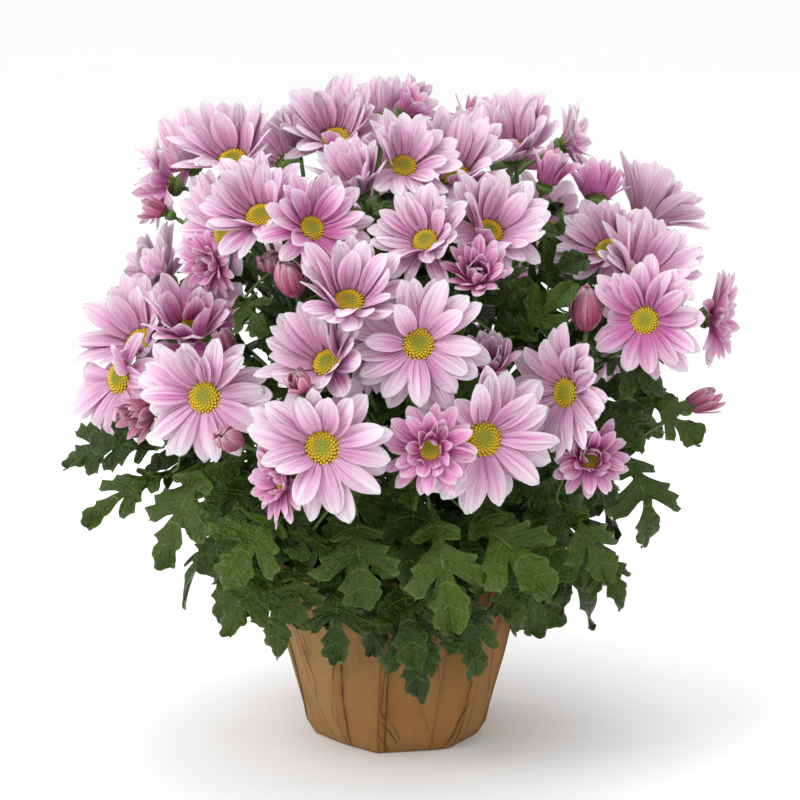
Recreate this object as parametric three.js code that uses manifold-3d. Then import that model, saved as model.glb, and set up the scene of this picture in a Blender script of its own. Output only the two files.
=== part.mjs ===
// Pot chrysanthemum: a mounded plant with daisy-like blooms, grown from five cuttings in a round
// nursery pot that stands in a pleated kraft-paper pot cover. Millimetres, +Z up, the origin at
// the middle of the cover's base. Bearings are degrees round Z, 0 at the front (-Y), 90 at +X.
import * as THREE from 'three';
import Module from 'manifold-3d';

const wasm = await Module();
wasm.setup();

// ---------------------------------------------------------------- driving dimensions

const GAP = 0.35;                      // clearance between pieces that rest on each other

const COVER = {
  height: 116,
  rimRadius: 82,
  footRadius: 56,
  footRound: 8,                        // height of the rounded lower edge
  baseRadius: 51,
  wall: 1.0,
  pleatDepth: 1.2,                     // how far the middle of a facet lies inside its folds
  rimStep: 1.5,                        // how unevenly the paper's edge was cut
};
// Bearings of the folds in the paper, one facet between each two.
const COVER_FOLDS = [-86, -58, -34, -8, 24, 46, 74, 102, 128, 156, 186, 214, 244];

const POT = {
  height: 108,
  rimRadius: 75,
  rimBand: 9,
  rimLedge: 4,
  footRadius: 47,
  wall: 1.4,
  floor: 2.4,
  drainCount: 5,
  drainRadius: 5,
  drainRing: 34,
  drainSides: 6,
};

const SOIL = {
  depth: 92,
  crown: 5,                            // height of its middle over its edge
  crumb: 0.8,
  ripples: [[3, 9], [7, -5]],          // crumbs in a turn, and the radius that shifts them 1 rad
  rim: 70,
  rings: [62, 46, 24],
  holeDepth: 42,
};
const SIDES = 16;                      // facets round the pot and the soil

const STEM = {
  ring: 40,                            // distance of the five cuttings from the pot's axis
  radius: 3.3,
  sides: 6,
  aboveHole: 4,                        // its cut end over the bottom of its hole
  top: 216,
  straight: 2,                         // height over the soil at which it starts to lean
  lean: 1.25,                          // how much further out the top stands than the foot
  taper: [1, 1, 1, 0.9, 0.6],
  forkLow: 116,                        // heights of its lowest and highest side shoot
  forkHigh: 211,
  forkSpan: [0.3, 0.97],               // the stretch of it that can bear a side shoot
};
const STEM_NAMES = ['front', 'right', 'back_right', 'back_left', 'left'];

const SHOOT = {
  radius: 1.5,
  sides: 4,
  swell: 1.3,                          // thickness at its neck over the rest
  rise: 0.5,                           // how much it turns up where it leaves the stem
  pull: 0.34,                          // how far each end runs straight, over its reach
  shares: [0, 0.38, 0.74, 1],          // its bends, along its length
  step: 4,
};
// The green cup under a disc: distances behind the disc, and its radius over the disc's.
const CALYX = { neck: 9.5, hollow: 5, rim: 3.4, share: 0.86 };

const DISC = {
  share: 0.235,                        // disc radius over bloom radius
  rise: 0.36,                          // height of its middle over its radius
  underShare: 0.9,
  underDrop: 1.7,
};
const PETAL = {
  wide: 0.43,                          // widest place over petal length
  rootWide: 0.3,                       // root width over widest width
  tipWide: 0.44,                       // tip width over widest width
  shoulder: 0.62,                      // where along its length a petal is widest
  keel: 1.5,                           // thickness along the middle
  fullCount: 12,                       // petals that fill a ring at that width
  tierStep: 13,                        // degrees between the two rows of petals
  tierShort: 0.93,                     // length in the upper row over the lower row
  curl: -16,                           // degrees that the tip turns down past the shoulder
  openingLift: 40,                     // an opening bloom lifts its petals past this,
  openingCurl: 10,                     // and their tips turn in by this
  liftSpread: 4,
  lengthSpread: 0.1,
  gap: 2.5,                            // free room round a petal
};
// Ways in which a petal that meets another is bent, in degrees, and shortened.
const BENDS = [0, 8, -8, 16, -16, 25, -25, 35, 46];
const LENGTHS = [1, 0.86, 0.72, 0.58];
const LIFTS = { step: 9, lowest: -30, highest: 56, over: 16 };
// Where the petal that joins two heads ends: short of the disc's middle, over the disc's radius,
// and how much above that middle it aims when it comes from underneath.
const JOIN = { short: 0.35, rise: 1.2 };

const BUD = {
  sides: 8,
  pleat: 0.8,                          // radius in the folds between its petals over the rest
  levels: [[-0.8, 0.5], [-0.1, 0.86], [0.65, 0.55]],  // heights and radii over half its length
  tip: 0.8,
  seat: 9,                             // how deep it stands in its cup, from the cup's disc place
  cup: 4,
};
const LEAF = {
  thickness: 0.9,
  fold: 0.22,                          // how steeply each half rises from the midrib
  arch: 0.16,
  upward: 0.7,                         // how much the arch bulges up for each bit outwards
  belly: 1.1,                          // half width of the place it needs over its own
  gap: 3.2,
  stalkRadius: 0.8,
};
// Ways in which a leaf that meets something is turned (yaw and rise in degrees) and shrunk.
const LEAF_TURNS = [[0, 0], [14, 0], [-14, 0], [0, 12], [0, -12], [28, 0], [-28, 0], [14, 14],
  [-14, 14], [42, 0], [-42, 0], [0, 26], [28, -14], [-28, -14]];
const LEAF_SIZES = [1, 0.84, 0.7, 0.56];
// How closely petals and leaves are looked over for things that cross them.
const LOOK = { from: 0.2, step: 0.1, sides: [-1, -0.5, 0, 0.5, 1], leafStep: 0.08, leafSide: 0.2 };
const SEED = 1000;
const SEED_STEP = 77;

// ---------------------------------------------------------------- blooms
// Place of the disc, diameter, the way it faces (bearing and tilt above level), lift of the
// petals out of the disc's plane, number of petals and shade.
const bloom = (x, y, z, across, bearing, tilt, lift, petals, shade) => (
  { at: [x, y, z], across, bearing, tilt, lift, petals, shade });

const BLOOMS = [
  bloom(-40, -172, 216, 84, -5, 18, 10, 12, 'pale'),
  bloom(-106, -122, 233, 80, -15, 15, 10, 12, 'pale'),
  bloom(12, -150, 268, 78, 0, 20, 12, 12, 'pale'),
  bloom(47, -155, 217, 85, 12, 8, 12, 12, 'pale'),
  bloom(94, -125, 236, 78, -45, 10, 20, 12, 'pale'),
  bloom(138, -110, 274, 70, -18, 12, 10, 12, 'rose'),
  bloom(-26, -140, 289, 76, 5, 50, 20, 12, 'pale'),
  bloom(-37, -143, 256, 80, -30, 42, 20, 12, 'pale'),
  bloom(-76, -85, 328, 76, -15, 45, 20, 12, 'pale'),
  bloom(-160, -50, 229, 80, -45, 15, 10, 12, 'pale'),
  bloom(18, -170, 214, 56, -5, 15, 16, 12, 'deep'),
  bloom(-116, -80, 262, 76, 10, 50, 22, 12, 'rose'),
  bloom(-151, -22, 245, 82, -35, 45, 16, 12, 'pale'),
  bloom(-47, -110, 325, 66, 25, 30, 12, 12, 'rose'),
  bloom(-95, -25, 352, 80, -15, 52, 16, 12, 'pale'),
  bloom(-36, 0, 362, 78, 0, 52, 22, 12, 'pale'),
  bloom(33, -45, 346, 84, 10, 56, 20, 12, 'pale'),
  bloom(51, -90, 320, 78, 25, 45, 18, 12, 'pale'),
  bloom(138, -75, 292, 80, 20, 48, 20, 12, 'pale'),
  bloom(44, -125, 300, 50, 0, 42, 26, 10, 'deep'),
  bloom(16, -110, 318, 66, -20, 40, 18, 10, 'pale'),
  bloom(149, 25, 311, 88, 120, 52, 14, 12, 'pale'),
  bloom(69, 0, 354, 78, -15, 58, 28, 12, 'pale'),
  bloom(4, -60, 353, 68, 10, 42, 12, 10, 'pale'),
  bloom(-22, -62, 341, 66, -30, 55, 30, 10, 'pale'),
  bloom(107, -120, 197, 52, 10, 20, 28, 10, 'deep'),
  bloom(-61, -165, 195, 50, -50, 8, 20, 10, 'deep'),
  bloom(-13, -118, 259, 56, -40, 10, 18, 10, 'pale'),
  bloom(86, -40, 342, 50, 60, 68, 56, 10, 'deep'),
  bloom(122, -38, 302, 68, -30, 42, 18, 10, 'pale'),
  bloom(117, -12, 328, 56, 170, 52, 34, 10, 'deep'),
  bloom(102, 50, 352, 62, 90, 22, 18, 10, 'pale'),
  bloom(185, -20, 259, 54, 85, 5, 24, 10, 'deep'),
  bloom(-139, 18, 273, 58, -70, 42, 24, 10, 'rose'),
  bloom(51, -122, 248, 52, 0, 55, 44, 10, 'rose'),
  bloom(-50, -174, 249, 40, -20, 44, 54, 8, 'bud'),
  bloom(-94, -100, 256, 44, -20, 50, 54, 8, 'bud'),
  bloom(-59, 38, 355, 52, -20, 74, 50, 8, 'rose'),
  bloom(47, 45, 362, 50, 10, 72, 40, 10, 'deep'),
  bloom(173, -30, 208, 38, 70, 36, 62, 8, 'bud'),
  bloom(-140, -85, 218, 46, -50, -12, 50, 8, 'bud'),
  bloom(-136, -22, 322, 34, -80, 30, 60, 8, 'bud'),
  bloom(-98, -50, 315, 74, -50, 25, 18, 10, 'pale'),
  bloom(-103, -76, 300, 46, -40, 0, 30, 8, 'deep'),
  bloom(-125, 40, 343, 72, -60, 48, 14, 10, 'pale'),
  bloom(-134, 4, 334, 58, -92, 12, 26, 10, 'rose'),
  bloom(5, 28, 375, 50, 80, 46, 26, 8, 'rose'),
  bloom(-8, 64, 368, 56, 170, 60, 20, 10, 'pale'),
  bloom(2, 108, 334, 76, 178, 52, 16, 10, 'pale'),
  bloom(-6, 146, 294, 70, 184, 34, 16, 10, 'pale'),
  bloom(14, 166, 246, 76, 176, 16, 14, 10, 'rose'),
  bloom(66, 92, 336, 74, 142, 50, 16, 10, 'rose'),
  bloom(92, 118, 294, 76, 140, 32, 16, 10, 'pale'),
  bloom(-68, 92, 338, 76, 214, 52, 16, 10, 'pale'),
  bloom(-98, 112, 296, 74, 222, 34, 16, 10, 'pale'),
  bloom(62, 152, 256, 74, 158, 20, 14, 10, 'pale'),
  bloom(40, 166, 206, 60, 168, 8, 18, 10, 'deep'),
  bloom(-52, 156, 258, 76, 200, 22, 14, 10, 'pale'),
  bloom(-44, 166, 208, 58, 190, 6, 20, 10, 'deep'),
  bloom(146, 76, 266, 78, 116, 28, 14, 10, 'pale'),
  bloom(128, 108, 222, 70, 130, 14, 16, 10, 'pale'),
  bloom(-146, 82, 262, 80, 240, 28, 14, 10, 'pale'),
  bloom(-130, 108, 216, 66, 232, 12, 16, 10, 'rose'),
];
// Blooms whose petals have grown into each other are one body: how many rows each node takes.
const SINGLE_BLOOMS = 42;
const BLOOM_BUNCHES = [2, 2, 2, 3, 2, 2, 2, 2, 2, 2];

// Closed buds: place, length, bearing and tilt. They belong to the stems.
const BUDS = [
  { at: [112, -75, 276], length: 24, bearing: 0, tilt: 85 },
  { at: [-91, -146, 214], length: 20, bearing: -20, tilt: 20 },
  { at: [-58, -122, 298], length: 22, bearing: -30, tilt: 60 },
  { at: [-70, -92, 303], length: 18, bearing: -10, tilt: 25 },
];

// Leaves: where the blade starts, where its tip hangs and how wide it is.
const leaf = (from, to, width) => ({ from, to, width });
const LEAVES = [
  leaf([-104, -118, 196], [-120, -134, 136], 42),
  leaf([-124, -104, 176], [-158, -118, 146], 28),
  leaf([-150, -62, 196], [-192, -56, 176], 32),
  leaf([-138, -84, 190], [-180, -78, 184], 34),
  leaf([-62, -126, 166], [-96, -152, 132], 46),
  leaf([-72, -88, 124], [-96, -100, 88], 36),
  leaf([-22, -132, 168], [-18, -154, 120], 48),
  leaf([-46, -128, 158], [-58, -148, 126], 36),
  leaf([-32, -92, 126], [-34, -104, 74], 36),
  leaf([18, -132, 172], [30, -150, 106], 46),
  leaf([38, -118, 166], [86, -140, 122], 48),
  leaf([4, -90, 118], [12, -98, 48], 44),
  leaf([34, -84, 120], [42, -96, 74], 32),
  leaf([76, -86, 158], [96, -104, 120], 36),
  leaf([92, -100, 164], [118, -116, 124], 36),
  leaf([104, -74, 138], [128, -88, 100], 30),
  leaf([130, -66, 190], [142, -84, 136], 46),
  leaf([138, -48, 214], [174, -56, 190], 38),
  leaf([116, -78, 244], [150, -92, 226], 34),
  leaf([112, -88, 212], [138, -104, 196], 30),
  leaf([72, -70, 286], [108, -78, 304], 32),
  leaf([66, -96, 262], [92, -112, 284], 32),
  leaf([-84, -92, 282], [-70, -118, 268], 28),
];
// Larger leaves that hang over the cover's rim, all round the sides and the back.
const RIM_LEAVES = {
  bearings: [72, 100, 126, 152, 180, 208, 234, 260],
  reach: 104,
  height: 150,
  stagger: 14,                         // how much higher every second one stands
  outward: 26,
  hang: 48,
  width: 42,
};

const FINISHES = {
  pale: { color: '#e2c0de', roughness: 0.55 },
  rose: { color: '#d9a3cf', roughness: 0.55 },
  deep: { color: '#c8699f', roughness: 0.55 },
  bud: { color: '#b95c74', roughness: 0.55 },
  green: { color: '#3d5a2a', roughness: 0.6 },
  kraft: { color: '#94714a', roughness: 0.85 },
  plastic: { color: '#3a3b3a', roughness: 0.5 },
  earth: { color: '#33251b', roughness: 0.95 },
};

// ---------------------------------------------------------------- small tools

const rad = THREE.MathUtils.degToRad;
const vec = (x, y, z) => new THREE.Vector3(x, y, z);

/** A repeatable stream of numbers from 0 to 1. */
function seeded(seed) {
  let state = seed;
  return () => {
    state = (state * 1664525 + 1013904223) % 4294967296;
    return state / 4294967296;
  };
}

/** Unit vector of a bearing round Z and a tilt above level. */
function facing(bearing, tilt) {
  const level = Math.cos(rad(tilt));
  return vec(Math.sin(rad(bearing)) * level, -Math.cos(rad(bearing)) * level, Math.sin(rad(tilt)));
}

/** Frame with its Z along the axis and its origin at a point. */
function frameAt(origin, axis) {
  const side = Math.abs(axis.z) > 0.95 ? vec(1, 0, 0) : vec(0, 0, 1).cross(axis).normalize();
  const other = axis.clone().cross(side).normalize();
  side.crossVectors(other, axis);
  return new THREE.Matrix4().makeBasis(side, other, axis).setPosition(origin);
}

/** Points and triangles of one closed body. */
class Shell {
  constructor() {
    this.points = [];
    this.faces = [];
  }

  point(p) {
    this.points.push(p.x, p.y, p.z);
    return this.points.length / 3 - 1;
  }

  ring(points) {
    return points.map((p) => this.point(p));
  }

  face(a, b, c) {
    this.faces.push(a, b, c);
  }

  quad(a, b, c, d) {
    this.face(a, b, c);
    this.face(a, c, d);
  }

  /** Walls between two rings of as many points, the second one further along. */
  band(lower, upper) {
    lower.forEach((low, i) => {
      const next = (i + 1) % lower.length;
      this.quad(low, lower[next], upper[next], upper[i]);
    });
  }

  /** Triangles from a ring to one point, seen from the side that the ring runs round leftwards. */
  fan(ring, tip) {
    ring.forEach((here, i) => this.face(here, ring[(i + 1) % ring.length], tip));
  }

  solid() {
    const mesh = new wasm.Mesh({
      numProp: 3,
      vertProperties: new Float32Array(this.points),
      triVerts: new Uint32Array(this.faces),
    });
    return new wasm.Manifold(mesh);
  }

  geometry() {
    const geometry = new THREE.BufferGeometry();
    geometry.setAttribute('position', new THREE.Float32BufferAttribute(this.points, 3));
    geometry.setIndex(this.faces);
    return geometry;
  }
}

function toGeometry(solid) {
  const mesh = solid.getMesh();
  const geometry = new THREE.BufferGeometry();
  geometry.setAttribute('position', new THREE.BufferAttribute(mesh.vertProperties, 3));
  geometry.setIndex(new THREE.BufferAttribute(mesh.triVerts, 1));
  return geometry;
}

const fuse = (solids) => solids.reduce((whole, next) => whole.add(next));

/** Points of a level circle round Z, with a height of its own at each if it is given a rule. */
function circle(radius, height, sides) {
  return Array.from({ length: sides }, (_, i) => {
    const turn = (i / sides) * 2 * Math.PI;
    const z = typeof height === 'function' ? height(radius, turn) : height;
    return vec(radius * Math.cos(turn), radius * Math.sin(turn), z);
  });
}

/** Closed body through rings of points, from the middle of its base round to its last middle. */
function wrapped(outlines, base, last) {
  const shell = new Shell();
  const rings = outlines.map((points) => shell.ring(points));
  rings.slice(1).forEach((ring, i) => shell.band(rings[i], ring));
  shell.fan([...rings[0]].reverse(), shell.point(base));
  shell.fan(rings.at(-1), shell.point(last));
  return shell;
}

/** Tube through points with a radius at each, its far end closed by a cone to a point. */
function lofted(path, radii, sides, last = path.at(-1)) {
  let side = vec(1, 0.2, 0);
  const outlines = path.map((centre, i) => {
    const before = path[Math.max(i - 1, 0)];
    const after = path[Math.min(i + 1, path.length - 1)];
    const ahead = after.clone().sub(before).normalize();
    if (i === 0 && Math.abs(side.dot(ahead)) > 0.8) side = vec(0, 0.2, 1);
    side = side.addScaledVector(ahead, -side.dot(ahead)).normalize();
    const frame = new THREE.Matrix4()
      .makeBasis(side, ahead.clone().cross(side), ahead)
      .setPosition(centre);
    return circle(radii[i], 0, sides).map((point) => point.applyMatrix4(frame));
  });
  return wrapped(outlines, path[0], last);
}

/** Room taken by stems and discs, as balls, and by petals and leaves, as points in a grid. */
class Room {
  constructor(cell) {
    this.cell = cell;
    this.balls = [];
    this.grid = new Map();
  }

  key(x, y, z) {
    return `${x},${y},${z}`;
  }

  slot(value) {
    return Math.floor(value / this.cell);
  }

  addBall(centre, radius, owner) {
    this.balls.push({ centre, radius, owner });
  }

  addBlade(points, owner) {
    points.forEach((point) => {
      const key = this.key(this.slot(point.x), this.slot(point.y), this.slot(point.z));
      if (!this.grid.has(key)) this.grid.set(key, []);
      this.grid.get(key).push({ point, owner });
    });
  }

  /** True where every point keeps its distance from everything that others own. */
  isClear(points, owners, gap) {
    return points.every((point) => this.clearOfBalls(point, owners, gap)
      && this.clearOfBlades(point, owners, gap));
  }

  clearOfBalls(point, owners, gap) {
    return this.balls.every(({ centre, radius, owner }) => owners.includes(owner)
      || centre.distanceTo(point) > radius + gap);
  }

  clearOfBlades(point, owners, gap) {
    for (let i = -1; i <= 1; i += 1) {
      for (let j = -1; j <= 1; j += 1) {
        for (let k = -1; k <= 1; k += 1) {
          const key = this.key(this.slot(point.x) + i, this.slot(point.y) + j,
            this.slot(point.z) + k);
          const near = this.grid.get(key) ?? [];
          if (near.some((other) => !owners.includes(other.owner)
            && other.point.distanceTo(point) < gap)) return false;
        }
      }
    }
    return true;
  }
}

const room = new Room(4);
const group = new THREE.Group();

function addPart(name, geometry, finish) {
  const mesh = new THREE.Mesh(geometry, new THREE.MeshStandardMaterial({ ...finish, metalness: 0 }));
  mesh.name = name;
  group.add(mesh);
}

// ---------------------------------------------------------------- pot cover, pot and soil

/** Outer radius of the cover at a height: a cone that rounds in to the base. */
function coverRadius(height) {
  const slope = (COVER.rimRadius - COVER.footRadius) / (COVER.height - COVER.footRound);
  if (height >= COVER.footRound) return COVER.footRadius + slope * (height - COVER.footRound);
  const share = height / COVER.footRound;
  return COVER.baseRadius + (COVER.footRadius - COVER.baseRadius) * share;
}

/** One ring of the folded paper: a corner at each fold, the facet's middle a little inside. */
function coverRing(height, inset) {
  const radius = coverRadius(height) - inset;
  return COVER_FOLDS.flatMap((fold, i) => {
    const next = i + 1 < COVER_FOLDS.length ? COVER_FOLDS[i + 1] : COVER_FOLDS[0] + 360;
    const level = height - (height === COVER.height ? (i % 3) * COVER.rimStep : 0);
    const corner = facing(fold, 0).multiplyScalar(radius).setZ(level);
    const middle = facing((fold + next) / 2, 0).multiplyScalar(radius - COVER.pleatDepth)
      .setZ(level);
    return [corner, middle];
  });
}

function makeCover() {
  const outside = [0, COVER.footRound, COVER.height / 2, COVER.height];
  const inside = [COVER.height, COVER.height / 2, COVER.footRound, COVER.wall];
  const outlines = [
    ...outside.map((height) => coverRing(height, 0)),
    ...inside.map((height) => coverRing(height, COVER.wall)),
  ];
  return wrapped(outlines, vec(0, 0, 0), vec(0, 0, COVER.wall)).geometry();
}

const potBase = COVER.wall + GAP;
const potShoulder = POT.rimRadius - POT.rimLedge;

/** A straight-sided tapering pot with a wider band at the rim and drain holes in its floor. */
function makeNurseryPot() {
  const shoulder = POT.height - POT.rimBand;
  const profile = [
    [POT.footRadius, 0],
    [potShoulder, shoulder],
    [POT.rimRadius, shoulder],
    [POT.rimRadius, POT.height],
    [POT.rimRadius - POT.wall, POT.height],
    [POT.rimRadius - POT.wall, shoulder + POT.wall],
    [potShoulder - POT.wall, shoulder],
    [POT.footRadius - POT.wall, POT.floor],
  ];
  const outlines = profile.map(([radius, height]) => circle(radius, height + potBase, SIDES));
  const pot = wrapped(outlines, vec(0, 0, potBase), vec(0, 0, potBase + POT.floor)).solid();
  const drains = Array.from({ length: POT.drainCount }, (_, i) => {
    const at = facing((i / POT.drainCount) * 360, 0).multiplyScalar(POT.drainRing);
    const below = at.clone().setZ(potBase - POT.floor);
    const above = at.clone().setZ(potBase + 2 * POT.floor);
    return lofted([below, above], [POT.drainRadius, POT.drainRadius], POT.drainSides).solid();
  });
  return toGeometry(drains.reduce((whole, drain) => whole.subtract(drain), pot));
}

const soilBottom = potBase + POT.floor + GAP;
const soilTop = soilBottom + SOIL.depth;

/** Height of the soil's crumbly, slightly domed top at a place. */
function soilHeight(radius, turn) {
  const rough = SOIL.ripples.reduce((sum, [count, run]) => (
    sum + Math.sin(count * turn + radius / run)), 0);
  return soilTop - SOIL.crown * (radius / SOIL.rim) ** 2 + SOIL.crumb * rough;
}

/** Inner radius of the nursery pot at a height above its floor, less the clearance. */
function soilRadius(height) {
  const taper = (potShoulder - POT.footRadius) / (POT.height - POT.rimBand - POT.floor);
  return POT.footRadius - POT.wall - 2 * GAP + taper * (height - potBase - POT.floor);
}

function makeSoil(holes) {
  const edge = soilTop - SOIL.crown - 3 * SOIL.crumb;
  const outlines = [
    circle(soilRadius(soilBottom), soilBottom, SIDES),
    circle(soilRadius(edge), edge, SIDES),
    ...SOIL.rings.map((radius) => circle(radius, soilHeight, SIDES)),
  ];
  const soil = wrapped(outlines, vec(0, 0, soilBottom), vec(0, 0, soilTop + SOIL.crumb)).solid();
  return toGeometry(holes.reduce((left, hole) => left.subtract(hole), soil));
}

// ---------------------------------------------------------------- stems

const stemBottom = soilTop - SOIL.holeDepth + STEM.aboveHole;

/** One rooted cutting: straight in the soil, then leaning outwards as it rises. */
function makeCutting(name, index) {
  const foot = facing((index / STEM_NAMES.length) * 360, 0).multiplyScalar(STEM.ring);
  const path = STEM.taper.map((_, i) => {
    const z = THREE.MathUtils.lerp(stemBottom, STEM.top, i / (STEM.taper.length - 1));
    const risen = Math.max(0, (z - soilTop - STEM.straight) / (STEM.top - soilTop));
    const out = 1 + (STEM.lean - 1) * risen;
    return vec(foot.x * out, foot.y * out, z);
  });
  path.forEach((point) => room.addBall(point, STEM.radius, name));
  const radii = STEM.taper.map((share) => share * STEM.radius);
  const solids = [lofted(path, radii, STEM.sides).solid()];
  return { name, foot, path, solids, joints: [], heads: [] };
}

const stems = STEM_NAMES.map(makeCutting);

/** The cutting whose ground a place stands on: the nearest one, seen from above. */
function stemFor(point) {
  const distance = (stem) => Math.hypot(point.x - stem.foot.x, point.y - stem.foot.y);
  return stems.reduce((best, stem) => (distance(stem) < distance(best) ? stem : best));
}

/** Point on a main stem at a height. */
function onStem(stem, height) {
  const [low, high] = [stem.path[0], stem.path.at(-1)];
  const curve = new THREE.CatmullRomCurve3(stem.path);
  const share = (height - low.z) / (high.z - low.z);
  return curve.getPoint(THREE.MathUtils.clamp(share, ...STEM.forkSpan));
}

/** Points along straight stretches, a step apart. */
function alongPath(path, step) {
  return path.slice(1).flatMap((end, i) => {
    const count = Math.ceil(end.distanceTo(path[i]) / step);
    return Array.from({ length: count }, (_, k) => path[i].clone().lerp(end, (k + 0.5) / count));
  });
}

/** Side shoot from a cutting up to the back of a head, ending in the green cup under it. */
function makeShoot(stem, head, height) {
  const { at, axis, cup, owner } = head;
  const behind = (distance) => at.clone().addScaledVector(axis, -distance);
  const start = onStem(stem, height);
  const end = behind(CALYX.neck);
  const straight = SHOOT.pull * end.distanceTo(start);
  const leaving = end.clone().sub(start).normalize().add(vec(0, 0, SHOOT.rise)).normalize();
  const curve = new THREE.CubicBezierCurve3(
    start,
    start.clone().addScaledVector(leaving, straight),
    end.clone().addScaledVector(axis, -straight),
    end);
  const bends = SHOOT.shares.map((share) => curve.getPoint(share));
  const slim = SHOOT.radius;
  const radii = [slim, slim, slim, SHOOT.swell * slim, cup];
  const path = [...bends, behind(CALYX.rim)];
  stem.solids.push(lofted(path, radii, SHOOT.sides, behind(CALYX.hollow + GAP)).solid());
  const points = alongPath(bends, SHOOT.step).slice(2);
  points.forEach((point) => room.addBall(point, slim, owner));
  stem.joints.push(...points.slice(1));
  room.addBall(behind(CALYX.hollow), cup, owner);
}

// ---------------------------------------------------------------- petals

/** Everything that the petals of one head go by, from its row in the table of blooms. */
function headOf(row, index, owner) {
  const random = seeded(SEED + index * SEED_STEP);
  const disc = (row.across / 2) * DISC.share;
  return {
    ...row,
    random,
    disc,
    full: row.across / 2 - disc,
    frame: frameAt(vec(...row.at), facing(row.bearing, row.tilt)),
    spin: random() * Math.PI,
    curl: row.lift > PETAL.openingLift ? PETAL.openingCurl : PETAL.curl,
    fullness: PETAL.fullCount / row.petals,
    owners: [`head_${index}`, owner],
  };
}

/**
 * One petal in the bloom's frame, as points from root to shoulder to tip. It leaves the disc's
 * edge at its angle and turns by the curl past the shoulder.
 */
function petalShape(head, turn, angle, length) {
  const along = (rise, distance) => vec(
    Math.cos(turn) * Math.cos(rad(rise)) * distance,
    Math.sin(turn) * Math.cos(rad(rise)) * distance,
    Math.sin(rad(rise)) * distance);
  const across = vec(-Math.sin(turn), Math.cos(turn), 0);
  const root = vec(Math.cos(turn), Math.sin(turn), 0).multiplyScalar(head.disc);
  const shoulder = root.clone().add(along(angle, length * PETAL.shoulder));
  const tip = shoulder.clone().add(along(angle + head.curl, length * (1 - PETAL.shoulder)));
  return { across, root, shoulder, tip, angle, wide: 0.5 * PETAL.wide * length * head.fullness };
}

/** Points spread over a petal, close enough together to notice anything that crosses it. */
function petalSamples(shape, frame) {
  const samples = [];
  for (let share = LOOK.from; share < 1 + LOOK.step / 2; share += LOOK.step) {
    const past = share > PETAL.shoulder;
    const local = past
      ? (share - PETAL.shoulder) / (1 - PETAL.shoulder)
      : share / PETAL.shoulder;
    const [start, end] = past ? [shape.shoulder, shape.tip] : [shape.root, shape.shoulder];
    const [wide, narrow] = past ? [1, PETAL.tipWide] : [PETAL.rootWide, 1];
    const middle = start.clone().lerp(end, local);
    const half = shape.wide * THREE.MathUtils.lerp(wide, narrow, local);
    LOOK.sides.forEach((side) => {
      samples.push(middle.clone().addScaledVector(shape.across, side * half).applyMatrix4(frame));
    });
  }
  return samples;
}

/** Bends or shortens a petal until it is clear of its neighbours, or leaves it out. */
function fitPetal(head, turn, lift, length, previous) {
  const highest = Math.max(LIFTS.highest, head.lift + LIFTS.over);
  const angles = BENDS.map((bend) => lift + bend).filter((angle) => (
    angle > LIFTS.lowest && angle < highest
    && previous.every((other) => Math.abs(other.angle - angle) >= LIFTS.step)));
  for (const shorter of LENGTHS) {
    for (const angle of angles) {
      const shape = petalShape(head, turn, angle, length * shorter);
      const samples = petalSamples(shape, head.frame);
      if (room.isClear(samples, head.owners, PETAL.gap)) {
        room.addBlade(samples, head.owners[1]);
        return shape;
      }
    }
  }
  return null;
}

/** The place in a neighbouring head's disc that a petal of this head aims at, in its frame. */
function joiningTarget(neighbour, head) {
  const middle = vec(...neighbour.at);
  const axis = facing(neighbour.bearing, neighbour.tilt);
  const underneath = vec(...head.at).sub(middle).dot(axis) < 0;
  return middle.addScaledVector(axis, underneath ? JOIN.rise : 0)
    .applyMatrix4(head.frame.clone().invert());
}

/** A petal that runs straight into the disc of the head beside it, which joins the two. */
function joiningPetal(head, turn, length, target) {
  const shape = petalShape(head, turn, 0, length);
  const run = target.clone().sub(shape.root);
  run.setLength(run.length() - JOIN.short * head.disc);
  shape.angle = THREE.MathUtils.radToDeg(Math.atan2(run.z, Math.hypot(run.x, run.y)));
  shape.shoulder = shape.root.clone().addScaledVector(run, PETAL.shoulder);
  shape.tip = shape.root.clone().add(run);
  room.addBlade(petalSamples(shape, head.frame), head.owners[1]);
  return shape;
}

/** The petals round a head in order, with nothing in a place where none fits. */
function growPetals(head, neighbour) {
  const count = head.petals;
  const target = neighbour ? joiningTarget(neighbour, head) : null;
  const towards = target ? (Math.atan2(target.y, target.x) - head.spin) / (2 * Math.PI) : 0;
  const joining = target ? Math.floor(THREE.MathUtils.euclideanModulo(towards, 1) * count) : -1;
  const petals = [];
  for (let i = 0; i < count; i += 1) {
    const upper = i % 2 === 1;
    const turn = head.spin + ((i + 0.5) / count) * 2 * Math.PI;
    const lift = head.lift + (upper ? PETAL.tierStep : 0)
      + (head.random() - 0.5) * PETAL.liftSpread;
    const length = head.full * (upper ? PETAL.tierShort : 1)
      * (1 + (head.random() - 0.5) * PETAL.lengthSpread);
    const beside = [petals[i - 1], i === count - 1 ? petals[0] : null].filter((petal) => petal);
    petals.push(i === joining
      ? joiningPetal(head, turn, length, target)
      : fitPetal(head, turn, lift, length, beside));
  }
  return petals;
}

// ---------------------------------------------------------------- heads

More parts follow.
